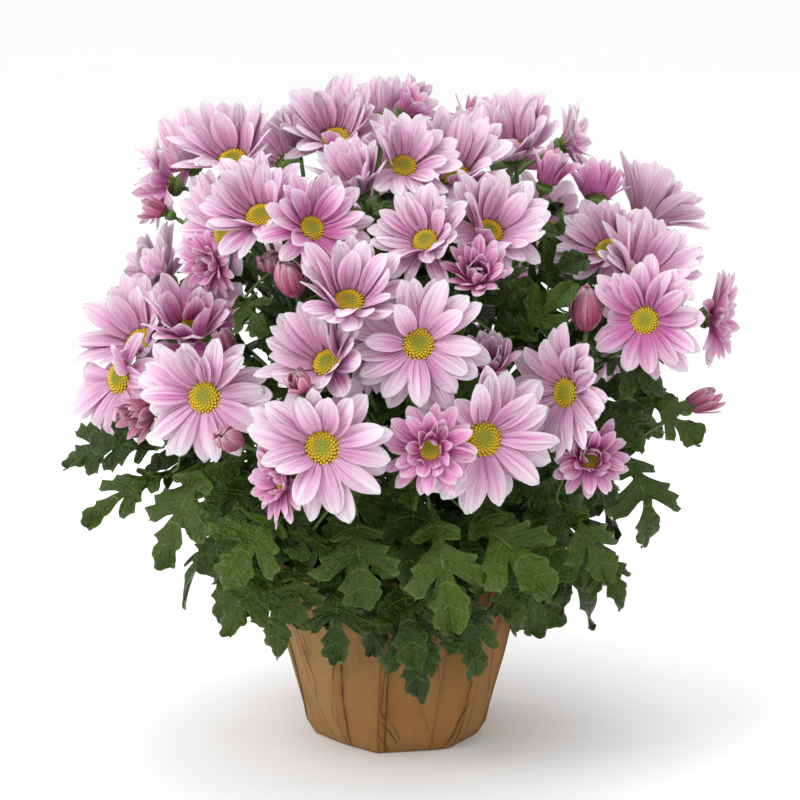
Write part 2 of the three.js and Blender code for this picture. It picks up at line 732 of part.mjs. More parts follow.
/**
 * A head: a domed disc on a shallow cone, with a ring of root points that neighbouring petals
 * share. A petal is flat above and keeled below, and alternate petals rise as a second row.
 */
function makeBloom(head, neighbour) {
  const petals = growPetals(head, neighbour);
  const shell = new Shell();
  const put = (p) => shell.point(p.clone().applyMatrix4(head.frame));
  const polar = (radius, share, height) => {
    const turn = head.spin + share * 2 * Math.PI;
    return put(vec(radius * Math.cos(turn), radius * Math.sin(turn), height));
  };
  const count = petals.length;
  const edge = petals.map((_, i) => polar(head.disc, i / count, 0));
  const under = petals.map((_, i) => (
    polar(head.disc * DISC.underShare, (i + 0.5) / count, -DISC.underDrop)));
  const foot = put(vec(0, 0, -CALYX.hollow));
  shell.fan(edge, put(vec(0, 0, head.disc * DISC.rise)));
  petals.forEach((petal, i) => {
    const right = edge[i];
    const left = edge[(i + 1) % count];
    const below = under[i];
    const nextBelow = under[(i + 1) % count];
    shell.face(left, below, nextBelow);
    shell.face(nextBelow, below, foot);
    if (petal) addPetal(shell, put, petal, right, left, below);
    else shell.face(left, right, below);
  });
  return shell;
}

/** The faces of one petal between its two root points and the point under them. */
function addPetal(shell, put, petal, right, left, below) {
  const beside = (middle, share) => put(
    middle.clone().addScaledVector(petal.across, share * petal.wide));
  const shoulderRight = beside(petal.shoulder, -1);
  const shoulderLeft = beside(petal.shoulder, 1);
  const tipRight = beside(petal.tip, -PETAL.tipWide);
  const tipLeft = beside(petal.tip, PETAL.tipWide);
  const keel = put(petal.shoulder.clone().add(vec(0, 0, -PETAL.keel)));
  shell.quad(right, shoulderRight, shoulderLeft, left);
  shell.quad(shoulderRight, tipRight, tipLeft, shoulderLeft);
  shell.quad(right, below, keel, shoulderRight);
  shell.quad(below, left, shoulderLeft, keel);
  shell.face(keel, shoulderLeft, tipLeft);
  shell.face(keel, tipLeft, tipRight);
  shell.face(keel, tipRight, shoulderRight);
}

/** A closed bud: a pleated egg on its shoot, in the cup's own body. */
function makeBud(bud) {
  const at = vec(...bud.at);
  const axis = facing(bud.bearing, bud.tilt);
  const frame = frameAt(at, axis);
  const shell = new Shell();
  const half = bud.length / 2;
  const onAxis = (share) => shell.point(vec(0, 0, share * half).applyMatrix4(frame));
  const rings = BUD.levels.map(([height, share]) => shell.ring(
    Array.from({ length: BUD.sides }, (_, i) => {
      const radius = half * share * (i % 2 ? BUD.pleat : 1);
      const turn = (i / BUD.sides) * 2 * Math.PI;
      return vec(radius * Math.cos(turn), radius * Math.sin(turn), half * height)
        .applyMatrix4(frame);
    })));
  rings.slice(1).forEach((ring, i) => shell.band(rings[i], ring));
  shell.fan([...rings[0]].reverse(), onAxis(-1));
  shell.fan(rings.at(-1), onAxis(BUD.tip));
  const stem = stemFor(at);
  stem.solids.push(shell.solid());
  stem.heads.push({
    at: at.clone().addScaledVector(axis, BUD.seat - half), axis, cup: BUD.cup, owner: 'bud' });
  room.addBall(at, half, 'bud');
}

// ---------------------------------------------------------------- leaves

// Half of a lobed leaf: three points of the midrib, then the edge from the stalk round to the
// tip, each as a share of the length and a share of the half width, and the triangles between.
const LEAF_POINTS = [
  [0.42, 0], [0.7, 0], [1, 0],
  [0.1, 0.12], [0.3, 0.8], [0.4, 0.36], [0.5, 0.96], [0.62, 1], [0.7, 0.42], [0.85, 0.62],
];
const [LEAF_MIDDLE, LEAF_TIP, LEAF_ROOT] = [0, 2, 3];
const LEAF_FACES = [
  [3, 4, 0], [4, 5, 0], [5, 6, 0], [0, 6, 1], [6, 7, 1], [7, 8, 1], [8, 9, 1], [1, 9, 2],
];

/** Place on an arched, folded leaf: share along the midrib, offset across it. */
function leafSurface(blade, share, side) {
  const ahead = blade.curve.getTangent(share);
  const normal = blade.side.clone().cross(ahead).normalize();
  const half = blade.width / 2;
  return blade.curve.getPoint(share)
    .addScaledVector(blade.side, side * half)
    .addScaledVector(normal, Math.abs(side) * half * LEAF.fold);
}

/** A blade from its base to its tip, arched away from the plant. */
function leafBlade(from, to, width) {
  const ahead = to.clone().sub(from);
  const outward = vec(from.x + to.x, from.y + to.y, 0).normalize().add(vec(0, 0, LEAF.upward));
  const side = ahead.clone().cross(outward).normalize();
  const normal = side.clone().cross(ahead).normalize();
  const middle = from.clone().lerp(to, 0.5)
    .addScaledVector(normal, 2 * LEAF.arch * ahead.length());
  return { curve: new THREE.QuadraticBezierCurve3(from, middle, to), side, width };
}

/** Points over the place that a leaf needs, which narrows to its two ends. */
function leafSamples(blade) {
  const samples = [];
  for (let share = LOOK.leafStep; share <= 1; share += LOOK.leafStep) {
    const reach = LEAF.belly * Math.sin(Math.PI * Math.min(share * LEAF.belly, 1 / LEAF.belly));
    for (let side = -1; side < 1 + LOOK.leafSide / 2; side += LOOK.leafSide) {
      if (Math.abs(side) <= reach) samples.push(leafSurface(blade, share, side));
    }
  }
  return samples;
}

/**
 * Both faces of a lobed leaf, split alike, the wall round its edge, and the stalk that runs from
 * a joint on a shoot into the root end of the blade.
 */
function leafSolid(blade, joint) {
  const shell = new Shell();
  const thick = blade.side.clone().cross(blade.curve.getTangent(0.5)).normalize()
    .multiplyScalar(LEAF.thickness);
  const sheet = (raise) => {
    const place = ([share, side]) => shell.point(
      leafSurface(blade, share, side).addScaledVector(thick, raise));
    const left = LEAF_POINTS.map(place);
    const right = LEAF_POINTS.map(([share, side], i) => (
      i < LEAF_ROOT ? left[i] : place([share, -side])));
    return { left, right };
  };
  const [above, below] = [sheet(0.5), sheet(-0.5)];
  LEAF_FACES.forEach(([a, b, c]) => {
    shell.face(above.left[a], above.left[b], above.left[c]);
    shell.face(above.right[a], above.right[c], above.right[b]);
    shell.face(below.left[a], below.left[c], below.left[b]);
    shell.face(below.right[a], below.right[b], below.right[c]);
  });
  shell.face(above.left[LEAF_ROOT], above.left[LEAF_MIDDLE], above.right[LEAF_ROOT]);
  shell.face(below.left[LEAF_ROOT], below.right[LEAF_ROOT], below.left[LEAF_MIDDLE]);
  const edge = ({ left, right }) => [
    ...left.slice(LEAF_ROOT), left[LEAF_TIP], ...right.slice(LEAF_ROOT).reverse()];
  const [high, low] = [edge(above), edge(below)];
  high.slice(1).forEach((here, i) => shell.quad(low[i], low[i + 1], here, high[i]));

  const run = blade.curve.getPoint(0).sub(joint).normalize();
  const across = blade.side.clone().addScaledVector(run, -blade.side.dot(run)).normalize();
  const up = across.clone().cross(run);
  const corner = (vertical, sideways) => shell.point(joint.clone()
    .addScaledVector(up, vertical * LEAF.stalkRadius)
    .addScaledVector(across, sideways * LEAF.stalkRadius));
  const start = [corner(1, 1), corner(-1, 1), corner(-1, -1), corner(1, -1)];
  shell.band(start, [high[0], low[0], low.at(-1), high.at(-1)]);
  shell.quad(...start.reverse());
  return shell;
}

/** True where no point of a leaf is in the cover's wall or dips into the pot. */
const clearOfPot = (points) => points.every((point) => (
  point.z > COVER.height + LEAF.gap
  || Math.hypot(point.x, point.y) > coverRadius(Math.max(point.z, 0)) + LEAF.gap));

/** Turns or shortens a leaf until it is clear of everything, or leaves it out. */
function fitLeaf({ from, to, width }) {
  const base = vec(...from);
  for (const size of LEAF_SIZES) {
    for (const [yaw, rise] of LEAF_TURNS) {
      const ahead = vec(...to).sub(base).multiplyScalar(size)
        .applyAxisAngle(vec(0, 0, 1), rad(yaw));
      const level = vec(-ahead.y, ahead.x, 0).normalize();
      const tip = base.clone().add(ahead.applyAxisAngle(level, rad(-rise)));
      const blade = leafBlade(base, tip, width * size);
      const samples = leafSamples(blade);
      if (clearOfPot(samples) && room.isClear(samples, [], LEAF.gap)) {
        room.addBlade(samples, 'leaf');
        return blade;
      }
    }
  }
  return null;
}

/** A leaf and its stalk, grown from the nearest shoot of its cutting. */
function makeLeaf(spec) {
  const blade = fitLeaf(spec);
  if (!blade) return;
  const base = blade.curve.getPoint(0);
  const stem = stemFor(base);
  const joint = stem.joints.reduce((best, here) => (
    here.distanceTo(base) < best.distanceTo(base) ? here : best));
  stem.solids.push(leafSolid(blade, joint).solid());
}

// ---------------------------------------------------------------- putting it together

addPart('pot_cover', makeCover(), FINISHES.kraft);
addPart('nursery_pot', makeNurseryPot(), FINISHES.plastic);
const holes = stems.map(({ foot }) => lofted(
  [foot.clone().setZ(soilTop - SOIL.holeDepth), foot.clone().setZ(soilTop + SOIL.crown)],
  [1, 1].map((share) => share * (STEM.radius + 2 * GAP)), STEM.sides + 2).solid());
addPart('potting_soil', makeSoil(holes), FINISHES.earth);

const heads = [];
const number = (index) => String(index + 1).padStart(2, '0');
const nodes = [...Array(SINGLE_BLOOMS).fill(1), ...BLOOM_BUNCHES].map((size) => {
  const first = heads.length;
  const name = size === 1 ? `bloom_${number(first)}`
    : `blooms_${number(first)}_${number(first + size - 1)}`;
  const own = BLOOMS.slice(first, first + size).map((row, i) => headOf(row, first + i, name));
  heads.push(...own);
  return { name, own };
});
heads.forEach(({ at, bearing, tilt, disc, owners }) => {
  const place = vec(...at);
  const [owner] = owners;
  stemFor(place).heads.push({ at: place, axis: facing(bearing, tilt), cup: disc * CALYX.share, owner });
  room.addBall(place, disc, owner);
});
BUDS.forEach(makeBud);
stems.forEach((stem) => {
  stem.heads.sort((one, other) => one.at.z - other.at.z);
  stem.heads.forEach((head, i) => {
    const share = i / (stem.heads.length - 1);
    makeShoot(stem, head, THREE.MathUtils.lerp(STEM.forkLow, STEM.forkHigh, share));
  });
});
nodes.forEach(({ name, own }) => {
  const shells = own.map((head, i) => makeBloom(head, own[i - 1]));
  const geometry = shells.length === 1 ? shells[0].geometry()
    : toGeometry(fuse(shells.map((shell) => shell.solid())));
  addPart(name, geometry, FINISHES[own[0].shade]);
});

LEAVES.forEach(makeLeaf);
RIM_LEAVES.bearings.forEach((bearing, i) => {
  const out = facing(bearing, 0);
  const height = RIM_LEAVES.height + (i % 2) * RIM_LEAVES.stagger;
  const from = out.clone().multiplyScalar(RIM_LEAVES.reach).setZ(height);
  const to = out.clone().multiplyScalar(RIM_LEAVES.reach + RIM_LEAVES.outward)
    .setZ(height - RIM_LEAVES.hang);
  makeLeaf({ from: from.toArray(), to: to.toArray(), width: RIM_LEAVES.width });
});
stems.forEach(({ name, solids }) => {
  addPart(`leafy_stem_${name}`, toGeometry(fuse(solids)), FINISHES.green);
});

export default group;
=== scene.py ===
"""Looks of a pot chrysanthemum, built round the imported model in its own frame, in metres.

Petals, leaves, shoots and florets are all made in one way: a ring of points is worked out for
each step along the shape, as one numpy array for a whole batch of shapes, and neighbouring rings
are joined into a closed skin. The base of the paper cover stands on Z = 0, the front faces -Y and
+X is to the right. Bearings are degrees round Z, 0 at the front and 90 at +X.
"""

import logging
from dataclasses import dataclass, field
from enum import Enum

import bpy
import numpy as np
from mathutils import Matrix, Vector


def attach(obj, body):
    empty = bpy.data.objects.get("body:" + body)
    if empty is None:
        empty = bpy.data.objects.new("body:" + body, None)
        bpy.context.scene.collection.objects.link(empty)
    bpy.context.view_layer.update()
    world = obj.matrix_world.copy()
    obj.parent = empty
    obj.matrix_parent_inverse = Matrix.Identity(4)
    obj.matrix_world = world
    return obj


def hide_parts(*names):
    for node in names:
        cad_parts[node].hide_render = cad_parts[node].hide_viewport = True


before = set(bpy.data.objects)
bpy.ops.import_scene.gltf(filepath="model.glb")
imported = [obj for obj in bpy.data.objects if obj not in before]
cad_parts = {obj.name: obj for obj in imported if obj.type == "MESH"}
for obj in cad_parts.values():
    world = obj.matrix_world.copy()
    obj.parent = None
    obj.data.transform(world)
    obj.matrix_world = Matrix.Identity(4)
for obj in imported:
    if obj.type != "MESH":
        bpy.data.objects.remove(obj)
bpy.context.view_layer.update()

Array = np.ndarray
Colour = tuple[float, float, float]
Socket = bpy.types.NodeSocket
Material = bpy.types.Material
LOG = logging.getLogger("pot_chrysanthemum")
MM = 0.001
GOLDEN_ANGLE = np.pi * (3.0 - np.sqrt(5.0))
AWRY = (0.31, 0.87, 0.12)  # a direction that none of the paths runs along


# ------------------------------------------------------------------ places


class Shade(Enum):
    """How deep the pink of a bloom is, which goes with how far open it is."""

    PALE = "petals_pale"
    ROSE = "petals_rose"
    DEEP = "petals_deep"
    BUD = "petals_bud"


P, R, D, B = Shade


@dataclass(frozen=True)
class Place:
    """Middle of a bloom or bud, its size and the way it faces, in millimetres and degrees."""

    x: float
    y: float
    z: float
    size: float
    bearing: float
    tilt: float

    @property
    def at(self) -> Array:
        """Its middle, in metres."""
        return np.array([self.x, self.y, self.z]) * MM

    @property
    def radius(self) -> float:
        """Half of its size, in metres."""
        return self.size / 2 * MM

    @property
    def axis(self) -> Array:
        """Unit vector along which it faces."""
        return facing(self.bearing, self.tilt)


@dataclass(frozen=True)
class Head(Place):
    """A bloom, with the slope of its petals in degrees and its shade."""

    lift: float
    shade: Shade

    @property
    def cupped(self) -> float:
        """How much steeper and straighter the petals stand, in degrees: more if it faces up."""
        return float(np.interp(self.tilt, [15, 50], [0, 22]))

    def by_slope(self, flat: float, steep: float) -> float:
        """Value between the one for petals that lie flat and the one for steep petals."""
        return float(np.interp(self.lift + self.cupped, [24, 60], [flat, steep]))


# Middle, size, bearing and tilt of each bloom, slope of its petals and its shade.
HEADS = [Head(*row) for row in (
    (-40, -172, 216, 84, -5, 18, 10, P), (-106, -122, 233, 80, -15, 15, 10, P),
    (12, -150, 268, 78, 0, 20, 12, P), (47, -155, 217, 85, 12, 8, 12, P),
    (94, -125, 236, 78, -45, 10, 20, P), (138, -110, 274, 70, -18, 12, 10, R),
    (-26, -140, 289, 76, 5, 50, 20, P), (-37, -143, 256, 80, -30, 42, 20, P),
    (-76, -85, 328, 76, -15, 45, 20, P), (-160, -50, 229, 84, -45, 15, 10, P),
    (18, -170, 214, 56, -5, 15, 16, D), (-116, -80, 262, 76, 10, 50, 22, R),
    (-151, -22, 245, 82, -35, 45, 16, P), (-47, -110, 325, 66, 25, 30, 12, R),
    (-95, -25, 352, 80, -15, 52, 16, P), (-36, 0, 362, 78, 0, 52, 22, P),
    (33, -45, 346, 84, 10, 56, 20, P), (51, -90, 320, 78, 25, 45, 18, P),
    (138, -75, 292, 80, 20, 48, 20, P), (44, -125, 300, 50, 0, 42, 26, D),
    (16, -110, 318, 66, -20, 40, 18, P), (149, 25, 311, 88, 120, 52, 14, P),
    (69, 0, 354, 78, -15, 58, 28, P), (4, -60, 353, 68, 10, 42, 12, P),
    (-22, -62, 341, 66, -30, 55, 30, P), (107, -120, 197, 52, 10, 20, 28, D),
    (-61, -165, 195, 50, -50, 8, 20, D), (-13, -118, 259, 56, -40, 10, 18, P),
    (86, -40, 342, 50, 60, 68, 56, D), (122, -38, 302, 68, -30, 42, 18, P),
    (117, -12, 328, 56, 170, 52, 34, D), (102, 50, 352, 62, 90, 22, 18, P),
    (184, -20, 259, 62, 74, 5, 18, D), (-139, 18, 273, 58, -70, 42, 24, R),
    (51, -122, 248, 52, 0, 55, 44, R), (-50, -174, 249, 40, -20, 44, 54, B),
    (-94, -100, 256, 44, -20, 50, 54, B), (-59, 38, 355, 52, -20, 74, 50, R),
    (47, 45, 362, 50, 10, 72, 46, D), (173, -30, 208, 44, 70, 36, 56, B),
    (-140, -85, 218, 46, -50, -12, 50, B), (-136, -22, 322, 34, -80, 30, 60, B),
    (-98, -50, 315, 74, -50, 25, 18, P), (-103, -76, 300, 46, -40, 0, 30, D),
    (-125, 40, 343, 72, -60, 48, 14, P), (-134, 4, 334, 58, -92, 12, 26, R),
    (5, 28, 375, 50, 80, 46, 26, R), (-8, 64, 368, 56, 170, 60, 20, P),
    (2, 108, 334, 76, 178, 52, 16, P), (-6, 146, 294, 70, 184, 34, 16, P),
    (14, 166, 246, 76, 176, 16, 14, R), (66, 92, 336, 74, 142, 50, 16, R),
    (92, 118, 294, 76, 140, 32, 16, P), (-68, 92, 338, 76, 214, 52, 16, P),
    (-98, 112, 296, 74, 222, 34, 16, P), (62, 152, 256, 74, 158, 20, 14, P),
    (40, 166, 206, 60, 168, 8, 18, D), (-52, 156, 258, 76, 200, 22, 14, P),
    (-44, 166, 208, 58, 190, 6, 20, D), (146, 76, 266, 78, 116, 28, 14, P),
    (128, 108, 222, 70, 130, 14, 16, P), (-146, 82, 262, 80, 240, 28, 14, P),
    (-130, 108, 216, 66, 232, 12, 16, R),
)]


BUDS = [
    Place(106, -98, 277, 25, 0, 80), Place(-91, -146, 214, 20, -20, 20),
    Place(-58, -122, 298, 22, -30, 60), Place(-70, -92, 303, 18, -10, 25),
]


@dataclass(frozen=True)
class LeafPlace:
    """Where a blade starts, where its tip hangs and how wide it is, in millimetres."""

    base: tuple[float, float, float]
    tip: tuple[float, float, float]
    width: float


# Base, tip and width of each leaf that has a place of its own.
LEAVES = [LeafPlace(*row) for row in (
    ((-104, -118, 196), (-120, -134, 136), 42),
    ((-128, -100, 182), (-163, -116, 148), 30),
    ((-150, -62, 196), (-192, -56, 176), 32),
    ((-136, -84, 194), (-176, -78, 195), 32),
    ((-62, -126, 166), (-96, -152, 132), 46),
    ((-72, -88, 124), (-96, -100, 88), 36),
    ((-22, -132, 168), (-18, -154, 120), 48),
    ((-46, -128, 158), (-58, -148, 126), 36),
    ((-32, -92, 126), (-34, -104, 74), 36),
    ((18, -132, 172), (30, -150, 106), 46),
    ((38, -118, 166), (86, -140, 122), 48),
    ((4, -90, 116), (12, -98, 50), 34),
    ((34, -84, 120), (42, -96, 74), 32),
    ((76, -86, 158), (96, -104, 120), 36),
    ((92, -100, 164), (118, -116, 124), 36),
    ((104, -74, 138), (128, -88, 100), 30),
    ((130, -66, 190), (142, -84, 136), 46),
    ((138, -48, 214), (174, -56, 190), 38),
    ((116, -78, 244), (150, -92, 226), 34),
    ((112, -88, 212), (138, -104, 196), 30),
    ((72, -70, 286), (108, -78, 304), 32),
    ((66, -96, 262), (92, -112, 284), 32),
    ((-84, -92, 282), (-70, -118, 268), 28),
    ((-55, -94, 128), (-60, -106, 92), 38),
    ((57, -88, 138), (62, -103, 101), 36),
)]
RIM_BEARINGS = (72, 100, 126, 152, 180, 208, 234, 260)
STEM_NAMES = ("front", "right", "back_right", "back_left", "left")
STEM_RING = 40 * MM


# ------------------------------------------------------------------ geometry


def facing(bearing: float, tilt: float) -> Array:
    """Unit vector (sin b cos t, -cos b cos t, sin t) of a bearing b and a tilt t in degrees."""
    b, t = np.radians(bearing), np.radians(tilt)
    return np.array([np.sin(b) * np.cos(t), -np.cos(b) * np.cos(t), np.sin(t)])


def unit(vectors: Array) -> Array:
    """Vectors scaled to length 1 along their last axis."""
    return vectors / np.maximum(np.linalg.norm(vectors, axis=-1, keepdims=True), 1e-9)


def basis(axis: Array) -> Array:
    """Right-handed frame whose third axis is given, for a disc or a bud.

    Args:
        axis: Unit vector that becomes the local Z.

    Returns:
        A 3 x 3 array with the local X, Y and Z as its rows.
    """
    hint = np.array([1.0, 0, 0]) if abs(axis[2]) > 0.95 else np.cross([0, 0, 1.0], axis)
    other = unit(np.cross(axis, hint))
    return np.stack([np.cross(other, axis), other, axis])


def smooth(low: float, high: float, x: Array) -> Array:
    """Smooth step from 0 to 1 as x goes from low to high: 3 t squared minus 2 t cubed."""
    t = np.clip((x - low) / (high - low), 0.0, 1.0)
    return t * t * (3.0 - 2.0 * t)


def rounded(points: Array, count: int) -> Array:
    """Smooth curve through a list of points, by the Catmull-Rom cubic.

    Args:
        points: Places that it goes through, at equal steps (places, anything).
        count: How many points to give back.

    Returns:
        Array (count, anything).
    """
    padded = np.concatenate([points[:1], points, points[-1:]])
    place = np.linspace(0, len(points) - 1, count)
    start = np.minimum(place.astype(int), len(points) - 2)
    t = (place - start)[:, None]
    a, b, c, d = (padded[start + k] for k in range(4))
    return b + 0.5 * t * (c - a + t * (2 * a - 5 * b + 4 * c - d + t * (3 * (b - c) + d - a)))


def circle_rings(radii: Array, heights: Array, sides: int) -> Array:
    """Rings round Z, one for each pair of radius and height.

    Args:
        radii: Radius of each ring, or of each point of each ring (rows, sides).
        heights: Height of each ring, or of each point.
        sides: Points in a ring.

    Returns:
        Array (rows, sides, 3).
    """
    turn = np.arange(sides) / sides * 2 * np.pi
    radii = np.broadcast_to(np.asarray(radii).reshape(len(radii), -1), (len(radii), sides))
    heights = np.broadcast_to(np.asarray(heights).reshape(len(radii), -1), radii.shape)
    return np.stack([radii * np.cos(turn), radii * np.sin(turn), heights], axis=-1)


def tube_rings(path: Array, radii: Array, sides: int) -> Array:
    """Rings across a path. Each ring's first side vector is one fixed hint made square to the path.

    Args:
        path: Points along the middle (rows, 3).
        radii: Radius at each point (rows,).
        sides: Points in a ring.

    Returns:
        Array (rows, sides, 3).
    """
    ahead = unit(np.gradient(path, axis=0))
    chord = unit(path[-1] - path[0])
    hint = unit(np.cross(chord, AWRY))
    side = unit(hint - (ahead @ hint)[:, None] * ahead)
    other = np.cross(ahead, side)
    turn = (np.arange(sides) / sides * 2 * np.pi)[None, :, None]
    spread = np.cos(turn) * side[:, None] + np.sin(turn) * other[:, None]
    return path[:, None] + radii[:, None, None] * spread


def bezier(points: Array, count: int) -> Array:
    """Curve of a cubic Bezier: its corners weighed by the Bernstein polynomials of t.

    Args:
        points: The four corners (4, 3).
        count: How many points to give back, at equal steps of t.

    Returns:
        Array (count, 3).
    """
    t = np.linspace(0, 1, count)[:, None]
    a, b, c, d = points
    return (1 - t) ** 3 * a + 3 * (1 - t) ** 2 * t * b + 3 * (1 - t) * t * t * c + t ** 3 * d


class Skin:
    """One mesh made of closed bodies, each a stack of rings with a cap at both ends."""

    def __init__(self, name: str, materials: list[Material]) -> None:
        """Starts an empty skin.

        Args:
            name: Name of the piece.
            materials: Its materials, in the order that bodies refer to them.
        """
        self.name = name
        self.materials = materials
        self.points: list[Array] = []
        self.uvs: list[Array] = []
        self.tones: list[Array] = []
        self.rims: list[Array] = []
        self.faces: list[list[int]] = []
        self.indices: list[int] = []
        self.size = 0

    def add(self, rings: Array, tone: Array | float = 0.5, material: int = 0,
            across: Array | None = None) -> None:
        """Adds a batch of like bodies.

        Args:
            rings: Points (bodies, rows, ring, 3), or (rows, ring, 3) for a single body.
            tone: Colour tone of each body, or of anything that fits (bodies, rows, ring).
            material: Which of the skin's materials the bodies wear.
            across: Place across the body of each point of a ring, from 0 to 1.
        """
        rings = rings[None] if rings.ndim == 3 else rings
        count, rows, ring = rings.shape[:3]
        across = np.arange(ring) / ring if across is None else across
        u, v = np.meshgrid(across, np.linspace(0, 1, rows))
        tone = np.asarray(tone, float)
        tone = tone.reshape(-1, 1, 1) if tone.ndim < 3 else tone
        self.points.append(rings.reshape(-1, 3))
        self.uvs.append(np.tile(np.stack([u, v], -1).reshape(-1, 2), (count, 1)))
        self.tones.append(np.broadcast_to(tone, (count, rows, ring)).ravel())
        sheet = across.max() == 1.0
        self.rims.append(np.tile((sheet & ((u == 0) | (u == 1))).ravel(), count))
        number = np.arange(count * rows * ring).reshape(count, rows, ring)
        after = np.roll(number, -1, axis=2)
        quads = np.stack([number[:, :-1], after[:, :-1], after[:, 1:], number[:, 1:]], -1)
        quads = quads.reshape(-1, 4)
        caps = np.concatenate([number[:, 0, ::-1], number[:, -1]])
        if self._volume(rings.reshape(-1, 3), quads, caps) < 0:
            quads, caps = quads[:, ::-1], caps[:, ::-1]
        self.faces += (quads + self.size).tolist() + (caps + self.size).tolist()
        self.indices += [material] * (len(quads) + len(caps))
        self.size += count * rows * ring

    @staticmethod
    def _volume(points: Array, quads: Array, caps: Array) -> float:
        """Sum of the signed volumes of the cones from the middle of the points to every face.

        Args:
            points: Corners (points, 3).
            quads: Numbers of the corners of each four-sided face.
            caps: Numbers of the corners of each end.

        Returns:
            Six times the volume, below 0 where the faces look inward.
        """
        points = points - points.mean(0)
        fans = np.stack([np.broadcast_to(caps[:, :1], caps[:, 2:].shape), caps[:, 1:-1],
                         caps[:, 2:]], -1).reshape(-1, 3)
        a, b, c = points[np.concatenate([quads[:, [0, 1, 2]], quads[:, [0, 2, 3]], fans])
                         ].transpose(1, 0, 2)
        return float(np.einsum("ij,ij->", a, np.cross(b, c)))

    def build(self, slot: str, *nodes: str) -> bpy.types.Object:
        """Makes the Blender object, in place of the CAD nodes that it stands for.

        Args:
            slot: Material slot of the record for the piece; not used.
            nodes: CAD nodes that it replaces.

        Returns:
            The new object, which rides on the root body.
        """
        mesh = bpy.data.meshes.new(self.name)
        mesh.from_pydata(np.concatenate(self.points).tolist(), [], self.faces)
        corners = np.empty(len(mesh.loops), np.int32)
        mesh.loops.foreach_get("vertex_index", corners)
        uv = mesh.uv_layers.new(name="UVMap")
        uv.uv.foreach_set("vector", np.concatenate(self.uvs)[corners].ravel().astype(np.float32))
        tone = mesh.attributes.new("tone", "FLOAT", "POINT")
        tone.data.foreach_set("value", np.concatenate(self.tones).astype(np.float32))
        mesh.polygons.foreach_set("material_index", np.array(self.indices, np.int32))
        mesh.polygons.foreach_set("use_smooth", np.ones(len(self.faces), bool))
        ends = np.empty(2 * len(mesh.edges), np.int32)
        mesh.edges.foreach_get("vertices", ends)
        sharp = mesh.attributes.new("sharp_edge", "BOOLEAN", "EDGE")
        sharp.data.foreach_set("value", np.concatenate(self.rims)[ends.reshape(-1, 2)].all(1))
        for material in self.materials:
            mesh.materials.append(material)
        mesh.update()
        piece = bpy.data.objects.new(self.name, mesh)
        bpy.context.scene.collection.objects.link(piece)
        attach(piece, "root")
        if nodes:
            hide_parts(*nodes)
        LOG.info("%s: %d faces", self.name, len(self.faces))
        return piece


class Room:
    """Places already taken, as points with an owner each, so that new shapes keep clear."""

    def __init__(self) -> None:
        """Starts with nothing taken."""
        self.points = np.zeros((0, 3))
        self.owners = np.zeros(0, int)

    def take(self, points: Array, owner: int) -> None:
        """Marks points as taken.

        Args:
            points: The points, in an array of any shape that ends in 3.
            owner: Number of the bloom or leaf that they belong to.
        """
        points = points.reshape(-1, 3)
        self.points = np.concatenate([self.points, points])
        self.owners = np.concatenate([self.owners, np.full(len(points), owner)])

    def near(self, centre: Array, reach: float, owner: int) -> Array:
        """Points of other owners that lie within reach of a centre.

        Args:
            centre: Where to look.
            reach: How far to look.
            owner: Number whose own points are left out.

        Returns:
            Array (points, 3).
        """
        away = self.points - centre
        close = np.einsum("ij,ij->i", away, away) < reach * reach
        return self.points[close & (self.owners != owner)]

    @staticmethod
    def clear(shape: Array, others: Array, gap: float) -> bool:
        """Whether a shape keeps clear, by the squared distance aa + bb - 2ab of every pair.

        Args:
            shape: Points of the shape, in an array of any shape that ends in 3.
            others: Points that it keeps clear of (points, 3).
            gap: Smallest distance that is clear.

        Returns:
            True where no point of the shape is nearer than the gap to any of the others.
        """
        if not len(others):
            return True
        shape = shape.reshape(-1, 3)
        square = ((shape ** 2).sum(1)[:, None] + (others ** 2).sum(1)[None]
                  - 2 * shape @ others.T)
        return bool(square.min() > gap * gap)


# ------------------------------------------------------------------ finishes


